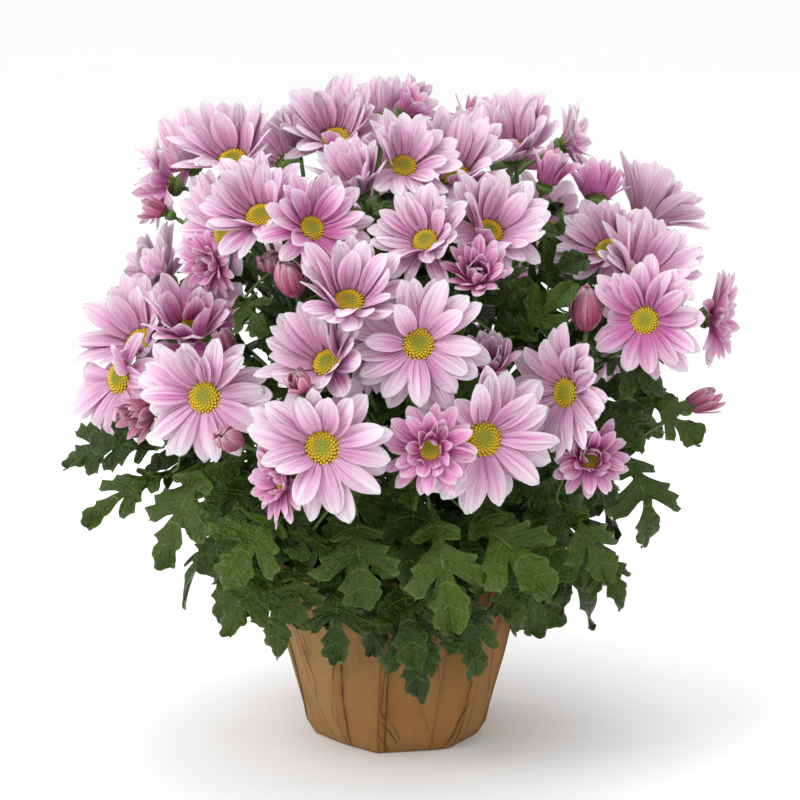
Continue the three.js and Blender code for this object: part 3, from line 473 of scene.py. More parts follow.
class Tree:
    """Short way to add nodes to a shader tree and link them."""

    def __init__(self, tree: bpy.types.NodeTree) -> None:
        """Keeps the tree that the nodes go into."""
        self.tree = tree

    def add(self, kind: str, inputs: dict | None = None, **settings: object) -> bpy.types.Node:
        """Adds a node.

        Args:
            kind: Node type, without its ShaderNode prefix.
            inputs: Value or output socket for each named or numbered input.
            settings: Properties of the node itself.

        Returns:
            The node.
        """
        node = self.tree.nodes.new("ShaderNode" + kind)
        for key, value in settings.items():
            setattr(node, key, value)
        for key, value in (inputs or {}).items():
            if isinstance(value, Socket):
                self.tree.links.new(value, node.inputs[key])
            else:
                node.inputs[key].default_value = value
        return node

    def math(self, operation: str, *values: object) -> Socket:
        """Result of a Math node on numbers or sockets."""
        return self.add("Math", dict(enumerate(values)), operation=operation).outputs[0]

    def times(self, first: object, second: object) -> Socket:
        """Product of two numbers or sockets."""
        return self.math("MULTIPLY", first, second)

    def minus(self, first: object, second: object) -> Socket:
        """Difference of two numbers or sockets."""
        return self.math("SUBTRACT", first, second)

    def power(self, base: Socket, exponent: float) -> Socket:
        """Power of a socket."""
        return self.math("POWER", base, exponent)

    def ramp(self, factor: Socket, stops: list[tuple[float, Colour]]) -> Socket:
        """Colour that goes through stops.

        Args:
            factor: Place along the ramp, from 0 to 1.
            stops: Place and linear colour of each stop.

        Returns:
            The colour.
        """
        node = self.add("ValToRGB", {0: factor})
        elements = node.color_ramp.elements
        while len(elements) < len(stops):
            elements.new(0.5)
        for element, (place, colour) in zip(elements, stops):
            element.position = place
            element.color = (*colour, 1.0)
        return node.outputs[0]

    def mix(self, factor: Socket, first: Socket | Colour, second: Socket | Colour) -> Socket:
        """Mix of two colours.

        Args:
            factor: Share of the second.
            first: A socket or a linear colour.
            second: A socket or a linear colour.

        Returns:
            The mixed colour.
        """
        colours = {key: value if isinstance(value, Socket) else (*value, 1.0)
                   for key, value in ((6, first), (7, second))}
        return self.add("Mix", {0: factor, **colours}, data_type="RGBA").outputs[2]

    def span(self, value: Socket, low: float, high: float) -> Socket:
        """Value stretched so that low becomes 0 and high becomes 1, and held between them."""
        return self.add("MapRange", {0: value, 1: low, 2: high}).outputs[0]


class Nodes(Tree):
    """The tree of one new material."""

    def __init__(self, name: str) -> None:
        """Makes a material with an empty tree.

        Args:
            name: Name of the material.
        """
        self.material = bpy.data.materials.new(name)
        self.material.use_nodes = True
        self.material.node_tree.nodes.clear()
        super().__init__(self.material.node_tree)

    def uv(self) -> tuple[Socket, Socket]:
        """The piece's own U and V."""
        split = self.add("SeparateXYZ", {0: self.add("UVMap", uv_map="UVMap").outputs[0]})
        return split.outputs[0], split.outputs[1]

    def tone(self) -> Socket:
        """The tone attribute of the skin."""
        return self.add("Attribute", attribute_name="tone").outputs["Fac"]

    def aside(self, u: Socket) -> Socket:
        """Distance from a body's midline: 0 on it and 1 at both edges."""
        return self.times(self.math("ABSOLUTE", self.minus(u, 0.5)), 2.0)

    def noise(self, scale: float, detail: float = 3.0, stretch: Colour = (1, 1, 1)) -> Socket:
        """Noise on Object coordinates.

        Args:
            scale: How many times it changes in a metre.
            detail: How many finer noises are laid over it.
            stretch: How much the place counts along each axis.

        Returns:
            Noise from 0 to 1.
        """
        place = self.add("TexCoord").outputs["Object"]
        mapped = self.add("Mapping", {"Vector": place, "Scale": stretch}).outputs[0]
        return self.add("TexNoise", {"Vector": mapped, "Scale": scale, "Detail": detail}).outputs[0]

    def streaks(self, u: Socket, v: Socket, across: float, along: float) -> Socket:
        """Noise stretched along the piece's length, different on each body through its tone.

        Args:
            u: Place across the body.
            v: Place along it.
            across: How many times the noise changes across it.
            along: How many times it changes along it.

        Returns:
            Noise from 0 to 1.
        """
        place = self.add("CombineXYZ", {0: self.times(u, across), 1: self.times(v, along),
                                        2: self.times(self.tone(), 97.0)}).outputs[0]
        return self.add("TexNoise", {"Vector": place, "Scale": 1.0, "Detail": 1.5}).outputs[0]

    def close(self, colour: Socket, height: Socket | None = None, bump: float = 0.0,
              **surface: object) -> Material:
        """Ends the tree in a Principled surface.

        Args:
            colour: Base colour.
            height: Height of the relief from 0 to 1, if there is one.
            bump: How tall that relief is, in metres.
            surface: Constant values of the surface's own sockets, with _ for a space.

        Returns:
            The finished material.
        """
        values = {key.replace("_", " "): value for key, value in surface.items()}
        skin = self.add("BsdfPrincipled", {"Base Color": colour, **values})
        if height is not None:
            relief = self.add("Bump", {"Height": height, "Distance": bump, "Strength": 1.0})
            self.tree.links.new(relief.outputs[0], skin.inputs["Normal"])
        out = self.add("OutputMaterial")
        self.tree.links.new(skin.outputs[0], out.inputs[0])
        return self.material


@dataclass(frozen=True)
class PetalFinish:
    """Satin petal: deeper at its root and along fine lengthwise veins, palest at its tip."""

    name: str
    root: Colour
    base: Colour
    body: Colour
    tip: Colour
    vein: Colour
    strength: float = 1.6
    fade: float = 1.4
    relief: float = -0.0005
    glow: float = 0.4

    def make(self) -> Material:
        """Colour ramps along V, and streaks of stretched noise across U fade towards the tip.

        Returns:
            The material.
        """
        nodes = Nodes(self.name)
        u, v = nodes.uv()
        broad = nodes.span(nodes.streaks(u, v, 6.0, 0.7), 0.48, 0.59)
        fine = nodes.span(nodes.streaks(u, v, 15.0, 1.0), 0.49, 0.60)
        line = nodes.math("ADD", nodes.times(broad, 0.5), nodes.times(fine, 0.38))
        fade = nodes.minus(1.0, nodes.power(v, self.fade))
        share = nodes.math("MULTIPLY_ADD", nodes.tone(), 0.5, 0.5)
        amount = nodes.times(nodes.times(nodes.times(line, fade), self.strength), share)
        colour = nodes.ramp(v, [(0.0, self.root), (0.08, self.base), (0.28, self.base),
                                (0.60, self.body), (0.92, self.tip)])
        colour = nodes.mix(amount, colour, self.vein)
        rim = nodes.times(nodes.power(nodes.aside(u), 4.0), 0.8)
        colour = nodes.mix(nodes.times(rim, v), colour, self.tip)
        return nodes.close(colour, line, self.relief, Roughness=0.5, Specular_IOR_Level=0.25,
                           Subsurface_Weight=self.glow, Subsurface_Scale=0.006,
                           Subsurface_Radius=(1.0, 0.45, 0.7))


@dataclass(frozen=True)
class DiscFinish:
    """Florets, from green in the middle of the disc to yellow at its edge, on a green base."""

    name: str = "disc_florets"
    base: Colour = (0.085, 0.135, 0.025)
    middle: Colour = (0.19, 0.24, 0.028)
    between: Colour = (0.28, 0.30, 0.025)
    edge: Colour = (0.66, 0.45, 0.014)

    def make(self) -> Material:
        """Ramp on the tone attribute: 0 on the base, then from the disc's middle to its edge.

        Returns:
            The material.
        """
        nodes = Nodes(self.name)
        colour = nodes.ramp(nodes.tone(), [(0.0, self.base), (0.05, self.middle),
                                           (0.32, self.between), (0.62, self.edge)])
        return nodes.close(colour, None, Roughness=0.6, Specular_IOR_Level=0.3)


@dataclass(frozen=True)
class LeafFinish:
    """Dark green leaf, paler ribs along the middle and out into each lobe, painted highlight at its
    edges.
    """

    name: str = "leaf_green"
    deep: Colour = (0.009, 0.022, 0.003)
    fresh: Colour = (0.064, 0.120, 0.006)
    rib_and_edge_highlight: Colour = (0.125, 0.190, 0.042)
    ribs: tuple[tuple[float, float], ...] = (
        (0.10, 0.4), (0.155, 0.9), (0.32, 0.4), (0.448, 1.0), (0.53, 0.4), (0.72, 0.8),
        (0.84, 0.6))
    midrib: float = 18.0
    narrow: float = 75.0
    relief: float = 0.0017

    def make(self) -> Material:
        """Ribs are narrow dips of the distance from the midrib and from chosen values of V.

        Returns:
            The material.
        """
        nodes = Nodes(self.name)
        u, v = nodes.uv()
        aside = nodes.aside(u)
        lines = nodes.math("MAXIMUM", nodes.minus(1.0, nodes.times(aside, self.midrib)), 0.0)
        reach = nodes.minus(1.0, nodes.power(aside, 3.0))
        for place, strength in self.ribs:
            off = nodes.math("ABSOLUTE", nodes.minus(v, place))
            line = nodes.minus(strength, nodes.times(off, self.narrow))
            lines = nodes.math("MAXIMUM", lines, nodes.times(line, reach))
        colour = nodes.mix(nodes.times(nodes.tone(), 0.85), self.deep, self.fresh)
        colour = nodes.mix(nodes.times(nodes.noise(38.0, 4.0), 0.45), colour, self.deep)
        colour = nodes.mix(nodes.times(lines, 0.75), colour, self.rib_and_edge_highlight)
        # Painted highlight: a pale rim of the rib colour along the leaf's edges.
        painted_edge_highlight = nodes.times(nodes.power(aside, 14.0), 0.45)
        colour = nodes.mix(painted_edge_highlight, colour, self.rib_and_edge_highlight)
        coarse = nodes.noise(190.0, 3.0)
        relief = nodes.math("MULTIPLY_ADD", coarse, 2.0, nodes.times(nodes.noise(480.0, 2.0), 0.7))
        height = nodes.minus(relief, nodes.times(lines, 0.45))
        return nodes.close(colour, height, self.relief, Roughness=0.30, Specular_IOR_Level=0.22)


@dataclass(frozen=True)
class PlainFinish:
    """Mottled matt surface of two colours, such as a stem, a cup, soil or plastic."""

    name: str
    dark: Colour
    light: Colour
    scale: float
    grain: float
    roughness: float = 0.6

    def make(self) -> Material:
        """Mixes the two colours by noise, and raises the surface by the same noise.

        Returns:
            The material.
        """
        nodes = Nodes(self.name)
        speck = nodes.noise(self.scale, 5.0)
        amount = nodes.times(nodes.math("ADD", speck, nodes.tone()), 0.6)
        return nodes.close(nodes.mix(amount, self.dark, self.light), speck, self.grain,
                           Roughness=self.roughness, Specular_IOR_Level=0.3)


@dataclass(frozen=True)
class Crease:
    """A crease between two places, each a bearing and a height in mm: a dark line of painted shade,
    partly a real crease mark.
    """

    start: tuple[float, float]
    end: tuple[float, float]
    width: float = 0.7
    dark: float = 0.55


@dataclass(frozen=True)
class KraftFinish:
    """Brown kraft paper with soft fibres and blotches, painted light and shade on its panels, and
    dark lines of painted shade where it is creased, partly real crease marks.
    """

    creases: tuple[Crease, ...]
    name: str = "kraft_paper"
    dark: Colour = (0.200, 0.094, 0.028)
    light: Colour = (0.470, 0.290, 0.120)
    warm: Colour = (0.290, 0.130, 0.036)
    # Colour of the crease lines: painted shade, partly real crease marks.
    crease_and_shade: Colour = (0.075, 0.032, 0.012)
    spread: float = 1.15

    def lines(self, nodes: Nodes) -> Socket:
        """How dark the painted shade of the creases is at a place of the paper.

        The place is unrolled: its bearing in degrees times the spread, and its height, both in mm,
        shifted a little by noise. A crease's painted shade fades evenly with the distance from its
        segment, and as a wider halo more softly farther out. Another noise weakens it in places.

        Args:
            nodes: The material's nodes.

        Returns:
            Darkness of the painted shade, from 0 to 1.
        """
        place = nodes.add("TexCoord").outputs["Object"]
        x, y, z = nodes.add("SeparateXYZ", {0: place}).outputs
        bearing = nodes.math("ARCTAN2", x, nodes.times(y, -1.0))
        sway = nodes.math("MULTIPLY_ADD", nodes.noise(30.0, 1.0), 2.0, -1.0)
        across = nodes.math("MULTIPLY_ADD", bearing, float(np.degrees(self.spread)), sway)
        flat = nodes.add("CombineXYZ", {0: across, 1: nodes.times(z, 1000.0)}).outputs[0]
        total = nodes.times(z, 0.0)
        for line in self.creases:
            start = (line.start[0] * self.spread, line.start[1], 0.0)
            way = np.array([line.end[0] * self.spread, line.end[1], 0.0]) - start
            # The sum so far is let in with next to no weight: the creases are done one by one.
            here = nodes.add("VectorMath", {0: total, 1: (1e-7, 0, 0), 2: flat},
                             operation="MULTIPLY_ADD").outputs[0]
            off = nodes.add("VectorMath", {0: here, 1: start}, operation="SUBTRACT").outputs[0]
            share = nodes.add("VectorMath", {0: off, 1: way / (way @ way)},
                              operation="DOT_PRODUCT").outputs["Value"]
            share = nodes.add("Clamp", {0: share}).outputs[0]
            rest = nodes.add("VectorMath", {0: share, 1: -way, 2: off}, operation="MULTIPLY_ADD")
            away = nodes.add("VectorMath", {0: rest.outputs[0]}, operation="LENGTH").outputs["Value"]
            # Painted shade along each line: a sharp core and a wider soft halo.
            dark = nodes.math("MULTIPLY_ADD", away, -line.dark / line.width, line.dark)
            halo_shade = nodes.math("MULTIPLY_ADD", away, -0.08 * line.dark, 0.32 * line.dark)
            total = nodes.math("MAXIMUM", total, nodes.math("MAXIMUM", dark, halo_shade))
        patchy = nodes.span(nodes.noise(55.0, 2.0), 0.30, 0.55)
        return nodes.times(total, nodes.math("MULTIPLY_ADD", patchy, 0.6, 0.4))

    def make(self) -> Material:
        """Two noises stretched along the height give the fibres, and the tone paints light and shade
        on each panel.

        Returns:
            The material.
        """
        nodes = Nodes(self.name)
        blotch = nodes.span(nodes.noise(16.0, 4.0), 0.36, 0.64)
        fibre = nodes.noise(420.0, 4.0, (1, 1, 0.3))
        blend = nodes.math("MULTIPLY_ADD", blotch, 0.35, nodes.times(fibre, 0.30))
        # Painted light and shade: the panel tone makes some panels lighter and others darker.
        blend = nodes.math("MULTIPLY_ADD", nodes.tone(), 0.35, blend)
        lines = self.lines(nodes)
        warm = nodes.times(nodes.span(nodes.noise(9.0, 3.0), 0.42, 0.60), 0.55)
        paper = nodes.mix(warm, nodes.mix(blend, self.dark, self.light), self.warm)
        # Painted shade along folds, lap edges and creases, partly real crease marks.
        colour = nodes.mix(lines, paper, self.crease_and_shade)
        crumple = nodes.math("ADD", nodes.noise(60.0, 2.0), nodes.times(fibre, 0.05))
        height = nodes.minus(crumple, nodes.times(lines, 0.7))
        return nodes.close(colour, height, 0.0022, Roughness=0.85, Specular_IOR_Level=0.2)


PETAL_FINISHES = {
    Shade.PALE: PetalFinish("petal_pale", (0.60, 0.52, 0.38), (0.80, 0.39, 0.62),
                            (0.87, 0.64, 0.80), (0.94, 0.83, 0.92), (0.56, 0.13, 0.35)),
    Shade.ROSE: PetalFinish("petal_rose", (0.56, 0.40, 0.32), (0.62, 0.17, 0.41),
                            (0.84, 0.53, 0.73), (0.94, 0.81, 0.91), (0.54, 0.07, 0.28)),
    Shade.DEEP: PetalFinish("petal_deep", (0.42, 0.22, 0.18), (0.58, 0.13, 0.36),
                            (0.80, 0.35, 0.59), (0.94, 0.73, 0.86), (0.48, 0.04, 0.20)),
    Shade.BUD: PetalFinish("petal_bud", (0.42, 0.12, 0.15), (0.58, 0.13, 0.24),
                           (0.64, 0.21, 0.33), (0.85, 0.48, 0.58), (0.30, 0.015, 0.06), 1.5),
}


# ------------------------------------------------------------------ blooms


@dataclass(frozen=True)
class PetalRow:
    """One ring of petals: how many, how much steeper and how long they are, how they curl."""

    count: int
    steeper: float
    length: float
    curl: float
    width: float = 1.0


OPEN_ROWS = (PetalRow(13, 3, 1.03, -36), PetalRow(12, 21, 0.96, -40, 0.95))
YOUNG_ROWS = (PetalRow(12, 3, 1.02, -28, 0.9), PetalRow(12, 20, 0.9, -26, 0.84),
              PetalRow(9, 34, 0.66, 12, 0.8), PetalRow(5, 48, 0.46, 34, 0.7))
HALF_OPEN_ROWS = (PetalRow(10, 0, 1.0, 14, 0.8), PetalRow(9, 9, 0.95, 22, 0.75),
                  PetalRow(8, 17, 0.84, 34, 0.7), PetalRow(6, 24, 0.7, 44, 0.6))
ROWS = {Shade.PALE: OPEN_ROWS, Shade.ROSE: OPEN_ROWS, Shade.DEEP: YOUNG_ROWS,
        Shade.BUD: HALF_OPEN_ROWS}


@dataclass(frozen=True)
class Blade:
    """What petals and leaves share: a ring that runs over their top and back underneath."""

    top: tuple[float, ...] = (-1, -0.5, 0, 0.5, 1)
    thick: float = 0.0002

    @property
    def ring(self) -> Array:
        """Place across of each point of a ring, from -1 to 1."""
        return np.array(self.top + self.top[-2:0:-1], float)

    @property
    def across(self) -> Array:
        """The same place from 0 to 1."""
        return (self.ring + 1) / 2

    @property
    def skin(self) -> Array:
        """How far each point of a ring stands off the middle face: not at all at its edges."""
        side = np.where(np.arange(len(self.ring)) >= len(self.top), -1.0, 1.0)
        return np.where(np.abs(self.ring) > 0.99, 0.0, side) * self.thick


@dataclass(frozen=True)
class PetalForm(Blade):
    """Shape that all petals share, as shares of a petal's length or half width."""

    stations: tuple[float, ...] = (0, 0.13, 0.29, 0.46, 0.64, 0.79, 0.90, 0.965, 1.0)
    claw: float = 0.33
    belly: float = 0.57
    tip: float = 0.93
    rounding: float = 0.04
    notch: float = 0.010
    furrow: float = 0.10
    flatter: float = 0.3
    ripple: float = 0.05
    least_curl: float = 0.02

    def rings(self, turn: Array, lift: Array, length: Array, half: Array, curl: Array,
              sway: Array, twist: Array, cup: Array, root: float) -> Array:
        """Rings of a batch of petals in the bloom's frame.

        The middle line leaves the disc at the lift and its slope changes evenly by the curl, so
        its place is the closed integral of the cosine and sine of that slope. The half width
        grows as a quarter sine to the belly and shrinks as an ellipse past it. The tip's corners
        are drawn back with a power of the place across. The blade is cupped by the square of that
        place, less and less towards the tip, and furrowed by its cosine.

        Args:
            turn: Bearing of each petal round the disc, in radians (petals,).
            lift: Slope at the root, in radians.
            length: Length, in metres.
            half: Half width at the belly, in metres.
            curl: Change of slope from root to tip, in radians.
            sway: Sideways bend, as a share of the length.
            twist: Turn about its own length at the tip, in radians.
            cup: How far its sides rise, as a share of its half width.
            root: Distance of the roots from the bloom's axis.

        Returns:
            Array (petals, rows, ring, 3).
        """
        s = np.array(self.stations)[None, :, None]
        t = self.ring[None, None, :]
        turn, lift, length, half, curl, sway, twist, cup = (
            a[:, None, None] for a in (turn, lift, length, half, curl, sway, twist, cup))
        curl = np.where(np.abs(curl) < self.least_curl, self.least_curl, curl)
        slope = lift + curl * s
        out = root + length * (np.sin(slope) - np.sin(lift)) / curl
        up = length * (np.cos(lift) - np.cos(slope)) / curl
        rise = self.claw + (1 - self.claw) * np.sin(np.pi / 2 * np.minimum(s / self.belly, 1))
        past = np.maximum(s - self.belly, 0) / (1 - self.belly)
        wide = half * rise * np.sqrt(1 - self.tip * past ** 2)
        draw = -length * s ** 5 * (self.rounding * np.abs(t) ** 2.5
                                   + self.notch * (1 - np.abs(t)) ** 2)
        normal = (wide * t ** 2 * (cup - self.flatter * s)
                  + self.furrow * wide * np.cos(2 * np.pi * t) * (1 - 0.5 * s)
                  + self.ripple * half * np.sin(7 * s + 9 * turn) * np.abs(t) * s + self.skin)
        angle = twist * s
        tangent = t * wide * np.cos(angle) + sway * length * s ** 2
        normal = normal + t * wide * np.sin(angle)
        out = out + np.cos(slope) * draw - np.sin(slope) * normal
        up = up + np.sin(slope) * draw + np.cos(slope) * normal
        cos, sin = np.cos(turn), np.sin(turn)
        return np.stack([out * cos - tangent * sin, out * sin + tangent * cos,
                         np.broadcast_to(up, out.shape)], -1)


@dataclass(frozen=True)
class Petal:
    """A petal's turn and twist in radians, lift and curl in degrees, length and half width in
    metres, sway as a share of the length and cup as one of the half width."""

    turn: float
    lift: float
    length: float
    half: float
    curl: float
    sway: float
    twist: float
    cup: float


@dataclass(frozen=True)
class PetalSpread:
    """How petals differ: mean and deviation of a draw or, for length and half width, its range,
    and how much higher lift, curl and cup are on the upper side of the bloom."""

    turn: float = 0.25
    lift: tuple[float, float] = (5, 6)
    length: tuple[float, float] = (0.86, 1.08)
    half: tuple[float, float] = (0.8, 1.1)
    curl: tuple[float, float] = (0, 14)
    sway: tuple[float, float] = (0, 0.06)
    twist: tuple[float, float] = (0.15, 0.24)
    cup: tuple[float, float] = (0, 0.14)
    upper_lift: float = 7
    upper_curl: float = 16
    upper_cup: float = 0.4
    least_cup: float = 0.30


@dataclass
class Blooms:
    """All the blooms: petals in rows round a disc of florets, a piece for each CAD node."""

    room: Room
    disc_share: float = 0.235
    disc_rise: float = 0.36
    # Radius, height and tone of each ring of the base under the florets.
    dome_rings: tuple[tuple[float, float, float], ...] = (
        (0.70, -0.42, 0), (0.82, -0.15, 0), (0.86, 0.0, 0), (0.75, 0.2, 0.35), (0.4, 0.31, 0.35),
        (0.08, 0.36, 0.35))
    florets: int = 110
    floret_wide: tuple[float, ...] = (0.75, 1.05, 0.5)
    floret_rise: tuple[float, ...] = (-0.3, 0.75, 1.0)
    petal_wide: float = 0.425
    petal_root: float = 0.8
    gap: float = 1.8 * MM
    bends: tuple[float, ...] = (0, 7, -7, 14, -14, 22, -22, 32)
    shorter: tuple[float, ...] = (1.0, 0.86, 0.7)
    form: PetalForm = field(default_factory=PetalForm)
    spread: PetalSpread = field(default_factory=PetalSpread)

    def drawn(self, head: Head, row: PetalRow, turn: float, rng: np.random.Generator) -> Petal:
        """One petal with its own irregularities, steeper and straighter on the upper side.

        Args:
            head: The bloom.
            row: The ring of petals that it belongs to.
            turn: Its bearing round the disc, in radians.
            rng: Source of its irregularities.

        Returns:
            The petal.
        """
        side, other, _ = basis(head.axis)
        upward = np.cos(turn) * side[2] + np.sin(turn) * other[2]
        full = head.radius - self.petal_root * (head.radius * self.disc_share)
        own = self.spread
        lift = head.lift + row.steeper + own.upper_lift * upward
        return Petal(
            turn=turn,
            lift=lift + rng.normal(*own.lift) + head.cupped,
            length=full * row.length * rng.uniform(*own.length),
            half=self.petal_wide / 2 * full * row.width * rng.uniform(*own.half),
            curl=row.curl + head.cupped + own.upper_curl * upward + rng.normal(*own.curl),
            sway=rng.normal(*own.sway),
            twist=rng.normal(*own.twist),
            cup=own.least_cup + own.upper_cup * upward + rng.normal(*own.cup))

    def fitted(self, petal: Petal, head: Head, others: Array) -> Array | None:
        """One petal in place, in the first of its bends and lengths that is clear.

        Args:
            petal: The petal.
            head: Its bloom.
            others: Points that it keeps clear of.

        Returns:
            Rings (rows, ring, 3), or None where nothing fits.
        """
        one = np.ones(len(self.bends))
        root = head.radius * self.disc_share * head.by_slope(self.petal_root, 1.0)
        for share in self.shorter:
            fan = self.form.rings(
                petal.turn * one, np.radians(petal.lift + np.array(self.bends)),
                petal.length * share * one, petal.half * share ** 0.5 * one,
                np.radians(petal.curl * one), petal.sway * one, petal.twist * one,
                petal.cup * one, root) @ basis(head.axis) + head.at
            for shape in fan:
                if self.room.clear(shape[1:], others, self.gap):
                    return shape
        return None

    def petals(self, head: Head, index: int) -> tuple[Array, Array]:
        """Petals of one bloom, each bent or shortened until it is clear of other blooms.

        Args:
            head: The bloom.
            index: Its number, which also seeds its irregularities.

        Returns:
            Rings of the petals (petals, rows, ring, 3) and the tone of each.
        """
        rng = np.random.default_rng(500 + index)
        others = self.room.near(head.at, head.radius * 1.15, index)
        kept, tones = [], []
        for row in ROWS[head.shade]:
            start = rng.uniform(0, 2 * np.pi)
            for k in range(row.count):
                shift = rng.uniform(-self.spread.turn, self.spread.turn)
                turn = start + (k + shift) / row.count * 2 * np.pi
                shape = self.fitted(self.drawn(head, row, turn, rng), head, others)
                if shape is not None:
                    kept.append(shape)
                    tones.append(rng.uniform(0, 1))
        petals = np.stack(kept)
        self.room.take(petals, index)
        return petals, np.array(tones)

    @staticmethod
    def outlook(at: Array, axis: Array, radius: float) -> Array:
        """Points of the space past a small bloom or bud, which larger neighbours leave free.

        They lie on six spirals of equal areas, one past the other along an axis that leans away
        from the middle of the plant.

        Args:
            at: Middle of the bloom or bud.
            axis: The way it faces.
            radius: Its radius.

        Returns:
            Array (spirals, points, 3).
        """
        count = 24
        number = np.arange(count)
        radii = 0.75 * radius * np.sqrt((number + 0.5) / count)
        turn = number * GOLDEN_ANGLE
        flat = np.stack([radii * np.cos(turn), radii * np.sin(turn), 0 * turn], 1)
        ahead = np.arange(10, 36, 5)[:, None, None] * MM * np.array([0, 0, 1.0])
        return (flat + ahead) @ basis(unit(axis + unit(at * [1, 1, 0]))) + at

    def dome(self, head: Head) -> tuple[Array, Array]:
        """Base of a disc under its florets.

        Args:
            head: The bloom.

        Returns:
            Rings (rows, sides, 3) and their tones (1, rows, 1).
        """
        wide, level, tone = np.array(self.dome_rings).T
        radius = head.radius * self.disc_share
        rings = circle_rings(wide * radius, level * radius, 14)
        return rings @ basis(head.axis) + head.at, tone[None, :, None]

    def disc(self, head: Head) -> tuple[Array, Array]:
        """Florets of a disc, on the spiral of equal areas.

        A floret's distance from the middle goes with the square root of its number and its turn
        grows by the golden angle. Those at the edge are open and taller. Steep petals leave them
        less room.

        Args:
            head: The bloom.

        Returns:
            Rings of the florets (florets, rows, ring, 3) and the tone of each.
        """
        radius = head.radius * self.disc_share
        number = np.arange(self.florets) + 0.5
        share = np.sqrt(number / self.florets)
        turn = number * GOLDEN_ANGLE
        height = radius * self.disc_rise * (1 - share ** 2.2)
        reach = share * radius * head.by_slope(1.0, 0.84)
        place = np.stack([reach * np.cos(turn), reach * np.sin(turn), height], 1)
        size = radius / np.sqrt(self.florets) * (0.72 + 0.2 * share)
        lean = unit(np.stack([np.cos(turn) * share * 0.55, np.sin(turn) * share * 0.55,
                              np.ones_like(turn)], 1))
        stem = size * (0.5 + 0.9 * share)
        around = np.arange(5) / 5 * 2 * np.pi
        flat = np.stack([np.cos(around), np.sin(around), np.zeros(5)], 1)[None, None]
        wide = np.array(self.floret_wide)[None, :, None, None] * size[:, None, None, None]
        rise = np.array(self.floret_rise)[None, :, None] * stem[:, None, None]
        florets = place[:, None, None] + flat * wide + (rise * lean[:, None])[:, :, None]
        return florets @ basis(head.axis) + head.at, share

    def build(self, finishes: dict[Shade, Material], disc: Material) -> None:
        """Builds a piece for each bloom node of the frame, once all petals are fitted.

        Args:
            finishes: Petal material of each shade.
            disc: Material of the florets.
        """
        for index, head in enumerate(HEADS):
            self.room.take(self.dome(head)[0], index)
        small_first = sorted(range(len(HEADS)), key=lambda index: HEADS[index].size)
        for index in small_first:
            head = HEADS[index]
            if head.shade in (Shade.DEEP, Shade.BUD):
                self.room.take(self.outlook(head.at, head.axis, head.radius), index)
        shapes = {index: self.petals(HEADS[index], index) for index in small_first}
        for node in sorted(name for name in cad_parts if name.startswith("bloom")):
            numbers = [int(part) for part in node.split("_")[1:]]
            own = range(numbers[0] - 1, numbers[-1])
            order = sorted({HEADS[index].shade for index in own}, key=lambda shade: shade.value)
            skin = Skin(node + "_flower", [finishes[shade] for shade in order] + [disc])
            for index in own:
                head = HEADS[index]
                petals, tones = shapes[index]
                skin.add(petals, tones, order.index(head.shade), self.form.across)
                for rings, tone in (self.dome(head), self.disc(head)):
                    skin.add(rings, tone, len(order))
            skin.build(HEADS[own[0]].shade.value, node)


# ------------------------------------------------------------------ stems and leaves


